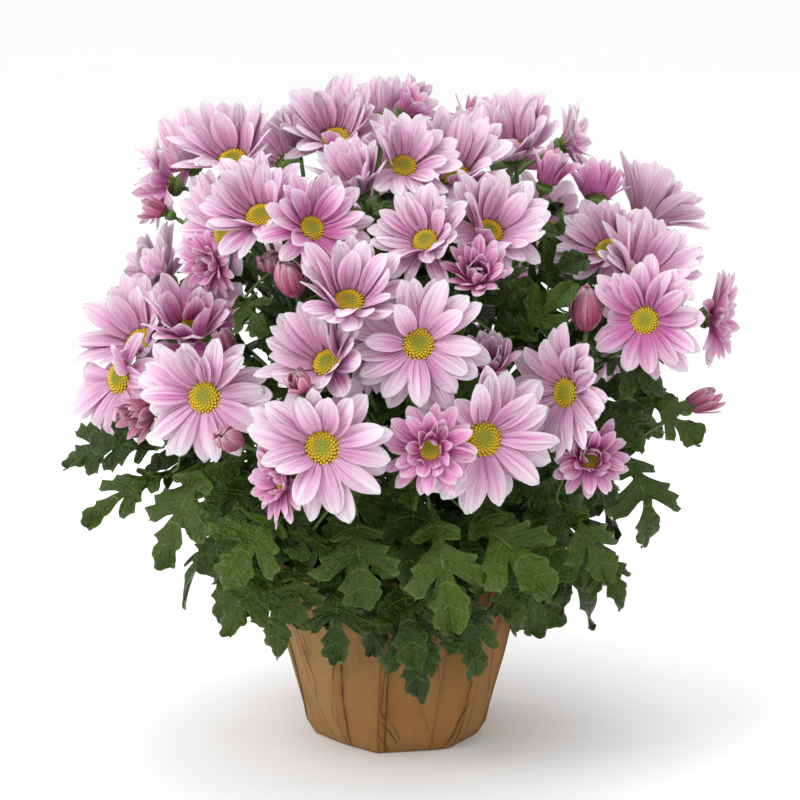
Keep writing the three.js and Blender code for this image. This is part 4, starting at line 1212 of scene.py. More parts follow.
@dataclass(frozen=True)
class LeafForm(Blade):
    """Shape that all leaves share: a small and a large pair of lobes, and a toothed end."""

    top: tuple[float, ...] = (-1, -0.7, -0.35, 0, 0.35, 0.7, 1)
    thick: float = 0.0003
    rows: int = 46
    fold: float = 0.26
    arch: float = 0.17
    quilt: float = 0.0022
    lopsided: float = 0.10
    teeth: float = 0.09
    tumble: float = 0.0
    sunward: float = 0.7
    wave: float = 0.08
    ripple: float = 0.045
    droop: float = -0.24
    # Half of the outline from the stalk to the end: the place on the midrib that each point
    # belongs to and its own place along the leaf, over the length, and its place across, over
    # the widest half width.
    edge: tuple[tuple[float, float, float], ...] = (
        (0.00, 0.00, 0.04), (0.04, 0.07, 0.06), (0.08, 0.14, 0.12), (0.11, 0.17, 0.34),
        (0.13, 0.21, 0.54), (0.155, 0.26, 0.62), (0.175, 0.30, 0.54), (0.20, 0.29, 0.32),
        (0.23, 0.28, 0.15), (0.27, 0.34, 0.24), (0.31, 0.39, 0.48), (0.34, 0.42, 0.68),
        (0.37, 0.45, 0.80), (0.385, 0.50, 0.78), (0.41, 0.55, 0.97), (0.43, 0.60, 1.04),
        (0.445, 0.66, 1.00), (0.46, 0.70, 0.86), (0.475, 0.68, 0.76), (0.49, 0.68, 0.64),
        (0.505, 0.62, 0.46), (0.53, 0.56, 0.28), (0.56, 0.55, 0.18), (0.60, 0.64, 0.27),
        (0.65, 0.72, 0.42), (0.70, 0.78, 0.50), (0.74, 0.80, 0.40), (0.79, 0.86, 0.44),
        (0.84, 0.92, 0.38), (0.88, 0.93, 0.26), (0.93, 0.98, 0.21), (0.97, 1.00, 0.12),
        (1.00, 0.99, 0.02))

    def rings(self, base: Array, tip: Array, width: float, seed: int) -> Array:
        """Rings of one blade.

        The midrib is a quadratic curve that arches away from the plant, and more to the front
        for the leaves of that side, which turn to the light. Each row runs from its
        place on the midrib out to its point of the outline, so that lobes and side ribs slant to
        the tip, and a sine of the row's number cuts small teeth. Each half rises from the midrib
        by the fold, and the blade is quilted between the ribs and waved along its edge. A blade
        that tumbles is turned a little about its length.

        Args:
            base: Where the blade starts.
            tip: Where it ends.
            width: Widest width, in metres.
            seed: Number that sets its waves.

        Returns:
            Array (rows, ring, 3).
        """
        rng = np.random.default_rng(seed)
        phase = rng.uniform(0, 2 * np.pi, 3)
        length = np.linalg.norm(tip - base)
        away = unit((base + tip)[:2])
        outward = np.array([*away, 0.7]) + self.tumble * rng.normal(0, 1, 3)
        outward[1] -= self.sunward * (1 - smooth(-0.4, 0.3, away[1]))
        side = unit(np.cross(tip - base, outward))
        normal = unit(np.cross(side, tip - base))
        bow = (base + tip) / 2 + normal * 2 * self.arch * length
        middle, along, out = rounded(np.array(self.edge), self.rows).T[..., None]
        t = self.ring[None, :]
        row = np.linspace(0, 1, self.rows)[:, None]
        lopsided = 1 + self.lopsided * np.sign(t) * np.sin(5 * middle + phase[0])
        lopsided = lopsided + self.teeth * t ** 4 * np.sin(80 * row + 2 * np.sign(t))
        offset = t * out * width / 2 * lopsided
        s = (middle + (along - middle) * np.abs(t) ** 1.2)[..., None]
        place = (1 - s) ** 2 * base + 2 * s * (1 - s) * bow + s ** 2 * tip
        ahead = unit(2 * (1 - s) * (bow - base) + 2 * s * (tip - bow))
        raised = unit(np.cross(side, ahead))
        quilt = self.quilt * np.sin(np.pi * (row - 0.155) / 0.293) ** 2 * np.abs(t)
        wide = width * t ** 2
        wave = self.wave * wide * np.sin(8 * middle + 2.2 * np.sign(t) + phase[1])
        wave = wave + self.ripple * wide * np.sin(21 * middle + 1.3 * np.sign(t) + phase[2])
        droop = self.droop * width * np.abs(out * t) ** 2 * rng.uniform(0.2, 1.0)
        fold = np.abs(offset) * self.fold * rng.uniform(0.5, 1.6)
        height = fold + quilt + wave + droop + self.skin
        return place + side * offset[..., None] + raised * height[..., None]


def stem_foot(index: int) -> Array:
    """Where a cutting stands, on the ring round the pot's axis."""
    return facing(index / len(STEM_NAMES) * 360, 0) * STEM_RING


LeafSpan = tuple[Array, Array, float]


@dataclass(frozen=True)
class LeafBatch:
    """Leaves that are fitted alike: the base, tip and width of each, their form, how often each
    is tried and with what gap. A firm leaf stands even where it finds no room."""

    spans: list[LeafSpan]
    form: LeafForm
    tries: int
    gap: float
    firm: bool = False


@dataclass(frozen=True)
class Cup:
    """Green cup under a bloom or bud: its rim's middle, the way it faces, radius and owner."""

    at: Array
    axis: Array
    radius: float
    owner: int


@dataclass
class Foliage:
    """The five cuttings with their shoots, cups, buds and leaves, a piece for each."""

    room: Room
    blooms: Blooms
    skins: list[Skin]
    stem_radius: float = 3.3 * MM
    stem_low: float = 58.1 * MM
    stem_top: float = 216 * MM
    soil_top: float = 96.1 * MM
    lean: float = 1.25
    fork_low: float = 116 * MM
    fork_high: float = 211 * MM
    shoot_radius: float = 1.4 * MM
    stalk_radius: float = 0.75 * MM
    neck: float = 9.5 * MM
    cup_rim: float = 3.2 * MM
    cup_share: float = 0.86
    bud_cup: float = 5 * MM
    bud_petals: int = 20
    # Radius and height of each ring of a bud's core, over half of the bud's length.
    bud_core: tuple[tuple[float, float], ...] = (
        (0.1, -1), (0.36, -0.86), (0.55, -0.6), (0.62, -0.25), (0.56, 0.1), (0.36, 0.4),
        (0.1, 0.6))
    leaf_gap: float = 1.7 * MM
    rim: float = 118 * MM
    # Leaves round the rim, in millimetres: reach and height of their bases, how much higher
    # every other one stands, how far their tips lie out and down, and their width.
    rim_reach: float = 104
    rim_height: float = 150
    rim_higher: float = 14
    rim_out: float = 26
    rim_drop: float = 48
    rim_width: float = 42
    # Reach from the pot's axis, height and tilt of each tier of leaves at the cover's rim.
    skirt_tiers: tuple[tuple[int, int, int], ...] = (
        (80, 130, -68), (84, 156, -58), (92, 178, -46), (60, 136, -10), (84, 124, -80))
    skirt_leaves: int = 130
    fill_leaves: int = 170
    inner_leaves: int = 220
    form: LeafForm = field(default_factory=LeafForm)
    loose_form: LeafForm = field(default_factory=lambda: LeafForm(tumble=0.35))
    plain_form: LeafForm = field(
        default_factory=lambda: LeafForm(rows=13, top=(-1, -0.5, 0, 0.5, 1), tumble=0.5))
    joints: list[list[Array]] = field(default_factory=lambda: [[] for _ in STEM_NAMES])

    def nearest(self, place: Array) -> int:
        """Number of the cutting whose foot is nearest to a place, seen from above."""
        feet = np.array([stem_foot(index)[:2] for index in range(len(STEM_NAMES))])
        return int(np.linalg.norm(feet - place[:2], axis=1).argmin())

    def stem_point(self, index: int, height: Array) -> Array:
        """Points of a cutting, which is straight in the soil and then leans out evenly.

        Args:
            index: Number of the cutting.
            height: Heights of the points (rows,).

        Returns:
            Array (rows, 3).
        """
        risen = np.maximum(0, (height - self.soil_top) / (self.stem_top - self.soil_top))
        place = stem_foot(index)[None] * (1 + (self.lean - 1) * risen)[:, None]
        place[:, 2] = height
        return place

    def shoot(self, index: int, cup: Cup, height: float) -> Array:
        """Path of a side shoot: it leaves its cutting upwards and meets the head along its axis.

        Args:
            index: Number of the cutting.
            cup: Cup that it carries.
            height: Height at which it forks.

        Returns:
            Points along it (rows, 3).
        """
        start = self.stem_point(index, np.array([height]))[0]
        end = cup.at - cup.axis * self.neck
        pull = 0.34 * np.linalg.norm(end - start)
        leaving = unit(unit(end - start) + np.array([0, 0, 0.5]))
        return bezier(np.stack([start, start + leaving * pull, end - cup.axis * pull, end]), 11)

    def cup_rings(self, cup: Cup) -> Array:
        """Bell of a green cup, whose rim is scalloped into twelve pointed scales.

        Args:
            cup: Where it sits.

        Returns:
            Rings (rows, sides, 3).
        """
        sides, scales = 24, 12
        turn = np.arange(sides) / sides * 2 * np.pi
        pointed = np.abs(np.cos(scales / 2 * turn))
        scale = np.array([0, 0, 0.02, 0.06, 0.16, 0.24])[:, None] * pointed
        wide = np.array([0.2, 0.3, 0.72, 0.98, 1.06, 0.9])[:, None] - 0.35 * scale
        back = np.array([-self.neck, -0.85 * self.neck, -0.72 * self.neck, -0.5 * self.neck,
                         -self.cup_rim, -self.cup_rim])[:, None]
        level = back + cup.radius * scale * np.array([0, 0, 0, 0, 1, 1])[:, None]
        return circle_rings(wide * cup.radius, level, sides) @ basis(cup.axis) + cup.at

    def bud(self, place: Place) -> tuple[Array, Array]:
        """Closed bud: two rows of petals that bend in over an egg-shaped core.

        Args:
            place: Where it sits.

        Returns:
            Rings of the core (rows, sides, 3) and of the petals (petals, rows, ring, 3).
        """
        wide, level = np.array(self.bud_core).T
        half, turned, count = place.radius, basis(place.axis), self.bud_petals
        core = circle_rings(half * wide, half * level, 14) @ turned + place.at
        number = np.arange(count)
        inner = number % 2
        rng = np.random.default_rng(int(place.size * 10 + place.z))
        one = np.ones(count)
        petals = self.blooms.form.rings(
            number / count * 2 * np.pi, np.radians(31 + 7 * inner + rng.normal(0, 3, count)),
            half * (2.4 - 0.12 * inner + rng.normal(0, 0.1, count)), 0.30 * half * one,
            np.radians(118 + rng.normal(0, 10, count)), 0 * one, rng.normal(0.1, 0.2, count),
            0.5 * one, 0.16 * half)
        petals[..., 2] -= 0.95 * half
        return core, petals @ turned + place.at

    def placed_leaves(self) -> list[LeafSpan]:
        """Leaves that the model holds: those placed one by one, and those round the rim.

        Returns:
            Base, tip and width of each, in metres.
        """
        leaves = [(np.array(l.base) * MM, np.array(l.tip) * MM, l.width * MM) for l in LEAVES]
        for k, bearing in enumerate(RIM_BEARINGS):
            height = self.rim_height + k % 2 * self.rim_higher
            out = facing(bearing, 0)
            base = out * self.rim_reach * MM + np.array([0, 0, height * MM])
            tip = base + out * self.rim_out * MM - np.array([0, 0, self.rim_drop * MM])
            leaves.append((base, tip, self.rim_width * MM))
        return leaves

    def skirt_leaf(self, number: int) -> LeafSpan:
        """A broad leaf at the cover's rim, in five tiers: four hang over it, one lies above it.

        Args:
            number: Its number, whose remainder by five is its tier.

        Returns:
            Base, tip and width, in metres.
        """
        rng = np.random.default_rng(7000 + number)
        bearing = (number + rng.uniform(-0.3, 0.3)) / self.skirt_leaves * 360
        reach, height, tilt = self.skirt_tiers[number % len(self.skirt_tiers)]
        base = facing(bearing, 0) * reach + [0, 0, height]
        ahead = facing(bearing + rng.normal(0, 12), tilt + rng.normal(0, 4)) * rng.uniform(48, 60)
        return base * MM, (base + ahead) * MM, rng.uniform(36, 46) * MM

    def fill_leaf(self, number: int) -> LeafSpan:
        """A smaller leaf inside the mound, on a spiral of equal steps from the rim to the top.

        Args:
            number: Its number on the spiral.

        Returns:
            Base, tip and width, in metres.
        """
        rng = np.random.default_rng(9000 + number)
        rise = (number + 0.5) / self.fill_leaves
        height = 130 + 196 * rise ** 1.1
        reach = np.interp(height, [120, 160, 210, 260, 300, 340], [84, 106, 124, 120, 94, 50])
        bearing = np.degrees(number * GOLDEN_ANGLE)
        base = facing(bearing, 0) * reach * rng.uniform(0.72, 1.0)
        base[2] = height
        tilt = np.interp(height, [120, 180, 240, 330], [-50, -16, 12, 16]) + rng.normal(0, 9)
        ahead = facing(bearing + rng.normal(0, 22), tilt)
        length = rng.uniform(46, 60) * (1 - 0.2 * rise)
        return base * MM, (base + ahead * length) * MM, length * rng.uniform(0.60, 0.76) * MM

    def inner_leaf(self, number: int) -> LeafSpan:
        """A leaf deep in the mound, where the stems would show, on the same kind of spiral.

        Args:
            number: Its number on the spiral.

        Returns:
            Base, tip and width, in metres.
        """
        rng = np.random.default_rng(11000 + number)
        rise = (number + 0.5) / self.inner_leaves
        base = facing(np.degrees(number * GOLDEN_ANGLE), 0) * rng.uniform(12, 98)
        base[2] = 126 + 190 * rise
        ahead = facing(rng.uniform(0, 360), rng.uniform(-40, 40)) * rng.uniform(34, 48)
        return base * MM, (base + ahead) * MM, rng.uniform(32, 42) * MM

    def fitted_leaf(self, batch: LeafBatch, span: LeafSpan, seed: int) -> Array | None:
        """A blade in the first of its turns and sizes in which it is clear of everything.

        Its tip is nudged further with each try, and every fourth try makes it a tenth smaller.
        Below the cover's rim it stays outside the paper.

        Args:
            batch: The batch that it belongs to.
            span: Its base, tip and width.
            seed: Number that sets its waves and turns.

        Returns:
            Rings (rows, ring, 3), or None where it isn't firm and nothing fits.
        """
        base, tip, width = span
        length = np.linalg.norm(tip - base)
        others = self.room.near((base + tip) / 2, length + 10 * MM, -9)
        rng = np.random.default_rng(seed)
        for k in range(batch.tries):
            size = 1 - 0.1 * (k // 4)
            nudge = rng.normal(0, 0.05 * min(k, 5), 3) * length
            rings = batch.form.rings(base, base + (tip - base) * size + nudge, width * size, seed)
            above = rings[..., 2] > self.rim
            aside = np.linalg.norm(rings[..., :2], axis=-1) > cover_radius(rings[..., 2]) + 2 * MM
            if (above | aside).all() and self.room.clear(rings, others, batch.gap):
                return rings
        return batch.form.rings(base, tip, width, seed) if batch.firm else None

    def add_leaf(self, batch: LeafBatch, blade: Array, base: Array, number: int) -> None:
        """Adds a blade, and a stalk from the nearest place of its cutting's shoots.

        Args:
            batch: The batch that it belongs to.
            blade: Its rings.
            base: Where it starts.
            number: Its number, which also sets its tone.
        """
        index = self.nearest(base)
        self.room.take(blade, 1000 + number)
        tone = np.random.default_rng(number).uniform(0.15, 1.0)
        self.skins[index].add(blade, tone, 0, batch.form.across)
        joints = np.array(self.joints[index])
        joint = joints[np.linalg.norm(joints - base, axis=1).argmin()]
        start = blade[0].mean(0)
        ahead = unit(blade[3].mean(0) - start)
        pull = 0.4 * np.linalg.norm(start - joint)
        stalk = bezier(np.stack([joint, joint + (start - joint) * 0.3, start - ahead * pull,
                                 start + ahead * 2 * MM]), 7)
        self.skins[index].add(tube_rings(stalk, np.full(7, self.stalk_radius), 6), 0.8, 1)

    def add_buds(self) -> list[Cup]:
        """Adds the closed buds, and keeps the space in front of them free.

        Returns:
            The cups under them.
        """
        cups = []
        for place in BUDS:
            core, petals = self.bud(place)
            skin = self.skins[self.nearest(place.at)]
            skin.add(core, 0.2, 2)
            skin.add(petals, np.linspace(0, 1, len(petals)), 2, self.blooms.form.across)
            self.room.take(petals, -1)
            self.room.take(self.blooms.outlook(place.at, facing(0, 0), place.radius), -1)
            at = place.at + place.axis * (9 - place.size / 2) * MM
            cups.append(Cup(at, place.axis, self.bud_cup, -1))
        return cups

    def add_cutting(self, index: int, cups: list[Cup]) -> None:
        """Adds a cutting's stem, and a shoot to each of its cups: the lowest forks off lowest.

        Args:
            index: Number of the cutting.
            cups: All the cups, of which it carries the nearest ones.
        """
        skin = self.skins[index]
        height = np.linspace(self.stem_low, self.stem_top, 12)
        radii = self.stem_radius * np.interp(np.linspace(0, 1, 12), [0, 0.6, 1], [1, 0.95, 0.6])
        skin.add(tube_rings(self.stem_point(index, height), radii, 10), 0.3, 1)
        own = sorted((cup for cup in cups if self.nearest(cup.at) == index),
                     key=lambda cup: cup.at[2])
        for fork, cup in zip(np.linspace(self.fork_low, self.fork_high, len(own)), own):
            path = self.shoot(index, cup, fork)
            radii = self.shoot_radius * np.linspace(1.15, 1, len(path))
            skin.add(tube_rings(path, radii, 6), 0.4, 1)
            skin.add(self.cup_rings(cup), 0.6, 1)
            self.room.take(bezier(path[[0, 3, 7, 10]], 40)[6:], cup.owner)
            self.joints[index] += list(path[2:])

    def add_stems(self) -> None:
        """Adds the buds, and the cuttings with a cup under every bloom and bud."""
        share = self.blooms.disc_share * self.cup_share
        cups = [Cup(head.at, head.axis, head.radius * share, index)
                for index, head in enumerate(HEADS)] + self.add_buds()
        for index in range(len(STEM_NAMES)):
            self.add_cutting(index, cups)

    def build(self) -> None:
        """Adds the leaves once the petals stand, and builds the pieces."""
        rim = [self.skirt_leaf(number) for number in range(self.skirt_leaves)]
        fill = [self.fill_leaf(number) for number in range(self.fill_leaves)]
        inner = [self.inner_leaf(number) for number in range(self.inner_leaves)]
        number = placed = 0
        for batch in (LeafBatch(self.placed_leaves(), self.form, 10, self.leaf_gap, True),
                      LeafBatch(rim, self.loose_form, 20, 0.75 * self.leaf_gap),
                      LeafBatch(fill, self.loose_form, 4, 0.75 * self.leaf_gap),
                      LeafBatch(inner, self.plain_form, 8, 0.6 * self.leaf_gap)):
            for span in batch.spans:
                blade = self.fitted_leaf(batch, span, 40 + number)
                if blade is not None:
                    self.add_leaf(batch, blade, span[0], number)
                    placed += 1
                number += 1
        LOG.info("leaves: %d of %d places taken", placed, number)
        for name, skin in zip(STEM_NAMES, self.skins):
            skin.build("foliage", "leafy_stem_" + name)


# ------------------------------------------------------------------ cover, pot and soil

def cover_radius(height: Array) -> Array:
    """Outer radius of the paper cover at a height: a cone, drawn in below its rounded edge."""
    return np.interp(height / MM, [0, 8, 116], [51, 56, 82]) * MM


@dataclass(frozen=True)
class Fold:
    """A fold in the paper: its bearing, how far that shifts over the height, its lap, and how
    light the panel past it is: partly the paper's own tone, partly painted light and shade."""

    bearing: float
    slant: float
    lap: float
    light: float


FOOT_CORNERS = (-76, -14, 36, 80, 128, 178, 230)
# The front panels' light values are painted light and shade: lighter on the left, darker right of
# the middle under the foliage.
FOLDS = (
    Fold(-86, -4, 6, 0.5), Fold(-58, -14, 0, 0.7), Fold(-34, 12, 4.5, 0.1),
    Fold(-8, 9, 3.6, -0.4), Fold(24, 3, 0, -0.6), Fold(43, 3, 8, -0.4),
    Fold(74, 6, 5, 0.2), Fold(102, -8, 0, 0.1), Fold(128, 5, 8, 0.6),
    Fold(156, -6, 4, 0.3), Fold(186, 9, 0, 0.7), Fold(214, -5, 6, 0.3),
    Fold(244, 4, 5, 0.4),
)
# Start and end of each crease, and for some their width in millimetres and darkness.
CREASES = tuple(Crease(*row) for row in (
    ((-57, 78), (-50, 40), 0.9, 0.95), ((-50, 40), (-53, 30), 0.7, 0.8),
    ((-53, 72), (-51, 58), 0.6, 0.6), ((-31, 62), (-42, 20), 0.5, 0.75),
    ((-42, 20), (-38, 4), 0.6, 0.6), ((-3, 74), (-9, 30), 0.7, 0.7),
    ((-9, 30), (-7, 24), 0.7, 0.9), ((-9, 22), (0, 8), 0.7, 0.8),
    ((-5, 24), (2, 10), 0.5, 0.6), ((-12, 16), (-6, 2), 0.6, 0.7),
    ((-74, 96), (-70, 20)), ((-66, 44), (-60, 12)), ((8, 88), (14, 40), 0.5, 0.4),
    ((18, 84), (22, 50), 0.6, 0.5), ((14, 30), (24, 6), 0.8, 0.3),
    ((44, 30), (34, 6), 1.0, 0.85), ((41, 20), (33, 2), 0.7, 0.6),
    ((60, 84), (66, 30)), ((92, 100), (86, 34)), ((114, 60), (122, 8)),
    ((140, 92), (147, 30)), ((170, 70), (164, 12)), ((-162, 96), (-156, 44)),
    ((-132, 60), (-139, 10)), ((-104, 88), (-98, 26)),
))


def fold_lines() -> tuple[Crease, ...]:
    """Painted shade lines: a thin one along every fold, and a darker one, a painted shadow, along
    the free edge of every lap.

    Returns:
        The lines.
    """
    lines = []
    for fold in FOLDS:
        low = (fold.bearing - fold.slant / 2 + 180) % 360 - 180
        lines.append(Crease((low, 0), (low + fold.slant, 116), 0.5, 0.45))
        if fold.lap:
            # Painted shadow of the lap's free edge, just past it.
            low += fold.lap + 0.6
            lines.append(Crease((low, 0), (low + fold.slant, 116), 0.7, 0.9))
    return tuple(lines)


@dataclass
class PaperCover:
    """Kraft paper folded into flat panels round the pot, with laps, creases and crumples."""

    height: float = 116 * MM
    wall: float = 0.8 * MM
    columns: int = 16
    fold_columns: int = 5
    lap: float = 1.1 * MM
    ridge: float = 2.4 * MM
    dent: float = 0.36 * MM
    foot_height: float = 40 * MM
    rim_step: float = 1.5 * MM

    def crumple(self, bearing: Array, height: float) -> Array:
        """How far the paper stands out at a height: a ridge beside each crease, and soft dents.

        A crease's effect falls off as a bell of the distance from it, measured on the unrolled
        paper. The dents are three waves that run round the cover at different slants.

        Args:
            bearing: Degrees round Z of each column.
            height: Height in metres.

        Returns:
            How far it stands out (columns,).
        """
        reach = float(cover_radius(np.array(height)))
        out = np.zeros_like(bearing)
        for crease_and_shade in CREASES:
            (b0, z0), (b1, z1) = crease_and_shade.start, crease_and_shade.end
            along = (np.radians(b1 - b0) * reach, (z1 - z0) * MM)
            x = np.radians((bearing - b0 - 1.5 + 180) % 360 - 180) * reach
            y = height - z0 * MM
            share = np.clip((x * along[0] + y * along[1]) / (along[0] ** 2 + along[1] ** 2), 0, 1)
            away = np.hypot(x - share * along[0], y - share * along[1])
            out += crease_and_shade.dark * MM * np.exp(-(away / self.ridge) ** 2)
        turn = np.radians(bearing)
        rise = height / self.height
        dents = (np.sin(7 * turn + 6 * rise) + 0.7 * np.sin(13 * turn - 9 * rise + 1)
                 + 0.5 * np.sin(23 * turn + 17 * rise + 2))
        return out + self.dent * dents

    def shares(self, end: Array) -> Array:
        """Place of each column across its panel: close together at the fold and the lap's edge.

        Args:
            end: Where the lap ends, as a share of its panel (columns,).

        Returns:
            Shares of the panel, from 0 to 1 (columns,).
        """
        column = np.tile(np.arange(self.columns), len(FOLDS))
        first = self.fold_columns
        near = np.stack([0 * end, 0 * end + 0.025, end - 0.03, end, end + 0.035])
        far = end + 0.07 + (0.975 - end - 0.07) * (column - first) / (self.columns - first - 1)
        near = near[np.minimum(column, first - 1), np.arange(len(end))]
        return np.where(column < first, near, far)

    @staticmethod
    def foot(bearing: Array) -> Array:
        """Outline of the flat-bottomed foot: straight sides between its corners.

        Args:
            bearing: Degrees round Z of each column.

        Returns:
            Radius as a share of that of the corners (columns,).
        """
        corners = np.array([*FOOT_CORNERS, FOOT_CORNERS[0] + 360.0])
        place = (bearing - corners[0]) % 360 + corners[0]
        side = np.clip(np.searchsorted(corners, place, "right") - 1, 0, len(corners) - 2)
        span = np.radians(corners[side + 1] - corners[side])
        foot = np.cos(span / 2) / np.cos(np.radians(place - corners[side]) - span / 2)
        return np.minimum(foot + 0.02, 1.02)

    def ring(self, height: float, inset: float) -> tuple[Array, Array]:
        """One ring of the paper, and how light its panels are.

        The panel between two folds is flat: its radius is the corner's times the cosine of half
        the panel's angle over the cosine of the angle from its middle. A lap stands out past some
        of the folds and ends in a sharp edge. Towards the foot the section turns into that of a
        flat-bottomed bag with fewer corners. At the rim the folds end at full height, a step
        lower and two steps lower in turn, and the panels slope from one to the next.

        Args:
            height: Height in metres.
            inset: How far it lies inside the outer face.

        Returns:
            Points (columns, 3) and lightness (columns,): painted light and shade of each panel, with
            painted shade in a strip just past each fold.
        """
        rise = height / self.height
        folds = np.array([fold.bearing + fold.slant * (rise - 0.5) for fold in FOLDS])
        folds = np.append(folds, folds[0] + 360)
        panel = np.repeat(np.arange(len(FOLDS)), self.columns)
        wide = folds[panel + 1] - folds[panel]
        lap = np.array([fold.lap for fold in FOLDS])[panel]
        end = np.where(lap > 0, lap, 6.0) / wide
        share = self.shares(end)
        bearing = folds[panel] + wide * share
        lift = self.lap * (1 - smooth(0.0, 0.9, (share - end) * wide)) * (lap > 0)
        stands = lift + self.crumple(bearing, height) - 0.3 * MM
        flat = np.cos(np.radians(wide / 2)) / np.cos(np.radians(wide * (share - 0.5)))
        share_foot = 0.75 * (1 - smooth(0.0, self.foot_height, np.array(height)))
        flat = flat + (self.foot(bearing) - flat) * share_foot
        radius = (cover_radius(np.array(height)) - inset) * flat
        radius = radius + stands * smooth(0, 0.12, np.array(rise))
        step = np.append(np.arange(len(FOLDS)) % 3, 0) * self.rim_step
        step = step[panel] + (step[panel + 1] - step[panel]) * share
        level = height - step * max(rise - 0.9, 0) * 10
        turn = np.radians(bearing)
        points = np.stack([radius * np.sin(turn), -radius * np.cos(turn), level], 1)
        light = np.array([fold.light for fold in FOLDS])[panel]
        # Painted shade: a strip just past each fold is made darker.
        return points, np.where(share < 0.5 * end, light - 0.2, light)

    def build(self, paper: Material) -> None:
        """Builds the cover: up its outside, over the edge, down its inside and over its floor.

        Args:
            paper: Material of the paper.
        """
        up = np.concatenate([[0, 2, 5, 8], np.linspace(11, 116, 36)]) * MM
        down = np.linspace(116, 4, 9) * MM
        rings = [self.ring(0.0, inset) for inset in (49 * MM, 25 * MM)]
        rings += [self.ring(height, 0.0) for height in up]
        rings += [self.ring(height, self.wall) for height in down]
        floor = [self.ring(0.0, inset + self.wall) for inset in (2 * MM, 25 * MM, 49 * MM)]
        points = np.stack([points for points, _ in rings + floor])
        points[-3:, :, 2] += self.wall
        tone = np.stack([light for _, light in rings + floor])
        skin = Skin("kraft_cover", [paper])
        skin.add(points, tone[None])
        skin.build("kraft_paper", "pot_cover")


@dataclass
class Soil:
    """Crumbs of bark and peat on the soil's top."""

    count: int = 260
    radius: float = 66 * MM
    top: float = 96 * MM
    crown: float = 5 * MM
    stem_room: float = 7 * MM

    def build(self, material: Material) -> None:
        """Scatters crumbs on a spiral of equal areas, each a squashed six-sided lump.

        Args:
            material: Material of the crumbs.
        """
        rng = np.random.default_rng(7)
        number = np.arange(self.count) + 0.5
        share = np.sqrt(number / self.count)
        turn = number * GOLDEN_ANGLE
        size = rng.uniform(1.2, 3.0, self.count) * MM
        place = np.stack([share * self.radius * np.cos(turn), share * self.radius * np.sin(turn),
                          self.top - self.crown * share ** 2], 1)
        keep = np.ones(self.count, bool)
        for index in range(len(STEM_NAMES)):
            keep &= np.linalg.norm(place[:, :2] - stem_foot(index)[:2], axis=1) > self.stem_room
        around = np.arange(6) / 6 * 2 * np.pi + rng.uniform(0, 6, (self.count, 1, 1))
        wide = np.array([0.7, 1.0, 0.55])[None, :, None] * size[:, None, None]
        wide = wide * rng.uniform(0.75, 1.25, (self.count, 3, 6))
        rise = np.array([-0.5, 0.1, 0.6])[None, :, None] * size[:, None, None]
        rise = rise * np.ones((1, 1, 6))
        lumps = np.stack([wide * np.cos(around), wide * np.sin(around), rise], -1)
        skin = Skin("soil_crumbs", [material])
        skin.add((lumps + place[:, None, None])[keep], rng.uniform(0, 1, int(keep.sum())))
        skin.build("soil")


# ------------------------------------------------------------------ studio


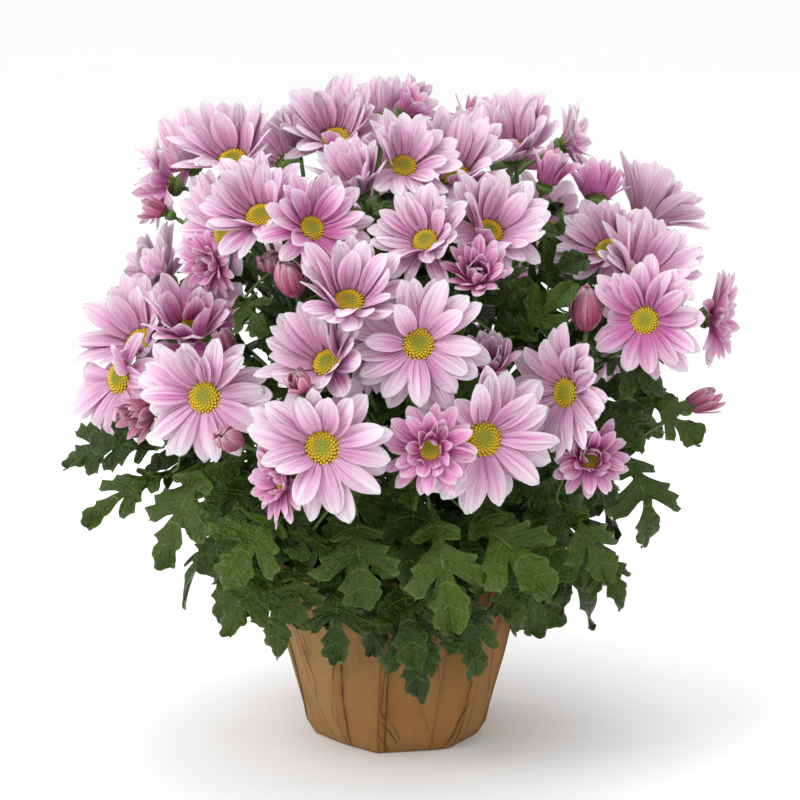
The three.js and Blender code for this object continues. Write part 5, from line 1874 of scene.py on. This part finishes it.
@dataclass(frozen=True)
class Studio:
    """Pale floor, soft light from the upper left and the camera."""

    target: tuple[float, float, float] = (0.0018, 0.0, 0.205)
    elevation: float = 12.0
    distance: float = 1.6
    lens: float = 120.0
    floor_size: float = 40.0
    floor_level: float = -0.5 * MM

    def aimed(self, name: str, data: bpy.types.ID,
              place: tuple[float, float, float]) -> bpy.types.Object:
        """Puts a light or a camera in the scene so that it looks at the plant.

        Args:
            name: Its name.
            data: The light or camera.
            place: Where it stands.

        Returns:
            The object.
        """
        item = bpy.data.objects.new(name, data)
        item.location = place
        aim = Vector(self.target) - item.location
        item.rotation_euler = aim.to_track_quat("-Z", "Y").to_euler()
        bpy.context.scene.collection.objects.link(item)
        return item

    def light(self, name: str, place: tuple[float, float, float], size: float,
              power: float) -> None:
        """Adds a square soft light that looks at the plant.

        Args:
            name: Its name.
            place: Where it hangs.
            size: Side of the square, in metres.
            power: Power in watts.
        """
        data = bpy.data.lights.new(name, "AREA")
        data.size, data.energy = size, power
        self.aimed(name, data, place)

    def camera(self) -> None:
        """Makes the camera, straight in front of the plant and raised by the elevation."""
        data = bpy.data.cameras.new("camera")
        data.lens, data.sensor_width = self.lens, 36.0
        angle = np.radians(self.elevation)
        x, y, z = self.target
        place = (x, y - self.distance * np.cos(angle), z + self.distance * np.sin(angle))
        bpy.context.scene.camera = self.aimed("camera", data, place)

    def surroundings(self) -> None:
        """Makes the pale surroundings, a little darker towards one side."""
        world = bpy.data.worlds.new("surroundings")
        world.use_nodes = True
        ground = world.node_tree.nodes["Background"]
        ground.inputs["Strength"].default_value = 1.05
        tree = Tree(world.node_tree)
        place = tree.add("SeparateXYZ", {0: tree.add("TexCoord").outputs["Generated"]}).outputs[0]
        colour = tree.ramp(tree.span(place, -1.0, 1.0),
                           [(0.60, (1.0, 1.0, 1.0)), (0.95, (0.85, 0.85, 0.86))])
        tree.tree.links.new(colour, ground.inputs["Color"])
        bpy.context.scene.world = world

    def floor(self) -> None:
        """Makes the plain pale floor, a square just under the cover's base."""
        half, level = self.floor_size / 2, self.floor_level
        mesh = bpy.data.meshes.new("floor")
        corners = [(-half, -half, level), (half, -half, level), (half, half, level),
                   (-half, half, level)]
        mesh.from_pydata(corners, [], [(0, 1, 2, 3)])
        floor = bpy.data.objects.new("floor", mesh)
        nodes = Nodes("floor_white")
        colour = nodes.mix(nodes.noise(2.0), (0.93, 0.93, 0.93), (0.95, 0.95, 0.95))
        mesh.materials.append(nodes.close(colour, Roughness=0.9, Specular_IOR_Level=0.1))
        bpy.context.scene.collection.objects.link(floor)

    def build(self) -> None:
        """Makes the camera, the lights, the surroundings and the floor."""
        self.camera()
        self.light("key", (-1.1, -1.2, 1.5), 0.8, 19.0)
        self.light("top", (0.1, 0.5, 1.7), 1.2, 8.0)
        self.surroundings()
        self.floor()
        bpy.context.scene.view_settings.view_transform = "Standard"


def dress(node: str, material: Material) -> None:
    """Gives a CAD node that stays a better material.

    Args:
        node: Name of the node.
        material: Its material.
    """
    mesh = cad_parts[node].data
    mesh.materials.clear()
    mesh.materials.append(material)
    LOG.info("%s: dressed", node)


def main() -> None:
    """Builds the studio and every piece, in order."""
    logging.basicConfig(level=logging.INFO, format="%(message)s")
    Studio().build()
    finishes = {shade: finish.make() for shade, finish in PETAL_FINISHES.items()}
    green = PlainFinish("stem_green", (0.035, 0.075, 0.015), (0.13, 0.21, 0.05), 60, 0.0003).make()
    soil = PlainFinish("soil_brown", (0.008, 0.005, 0.003), (0.06, 0.035, 0.02), 160, 0.002,
                       0.95).make()
    plastic = PlainFinish("pot_plastic", (0.02, 0.021, 0.02), (0.04, 0.041, 0.04), 300, 0.0001,
                          0.45).make()
    room = Room()
    blooms = Blooms(room)
    greens = [LeafFinish().make(), green, finishes[Shade.BUD]]
    foliage = Foliage(room, blooms, [Skin("foliage_" + name, greens) for name in STEM_NAMES])
    foliage.add_stems()
    blooms.build(finishes, DiscFinish().make())
    foliage.build()
    PaperCover().build(KraftFinish(CREASES + fold_lines()).make())
    Soil().build(soil)
    dress("potting_soil", soil)
    dress("nursery_pot", plastic)


if __name__ == "__main__":
    main()
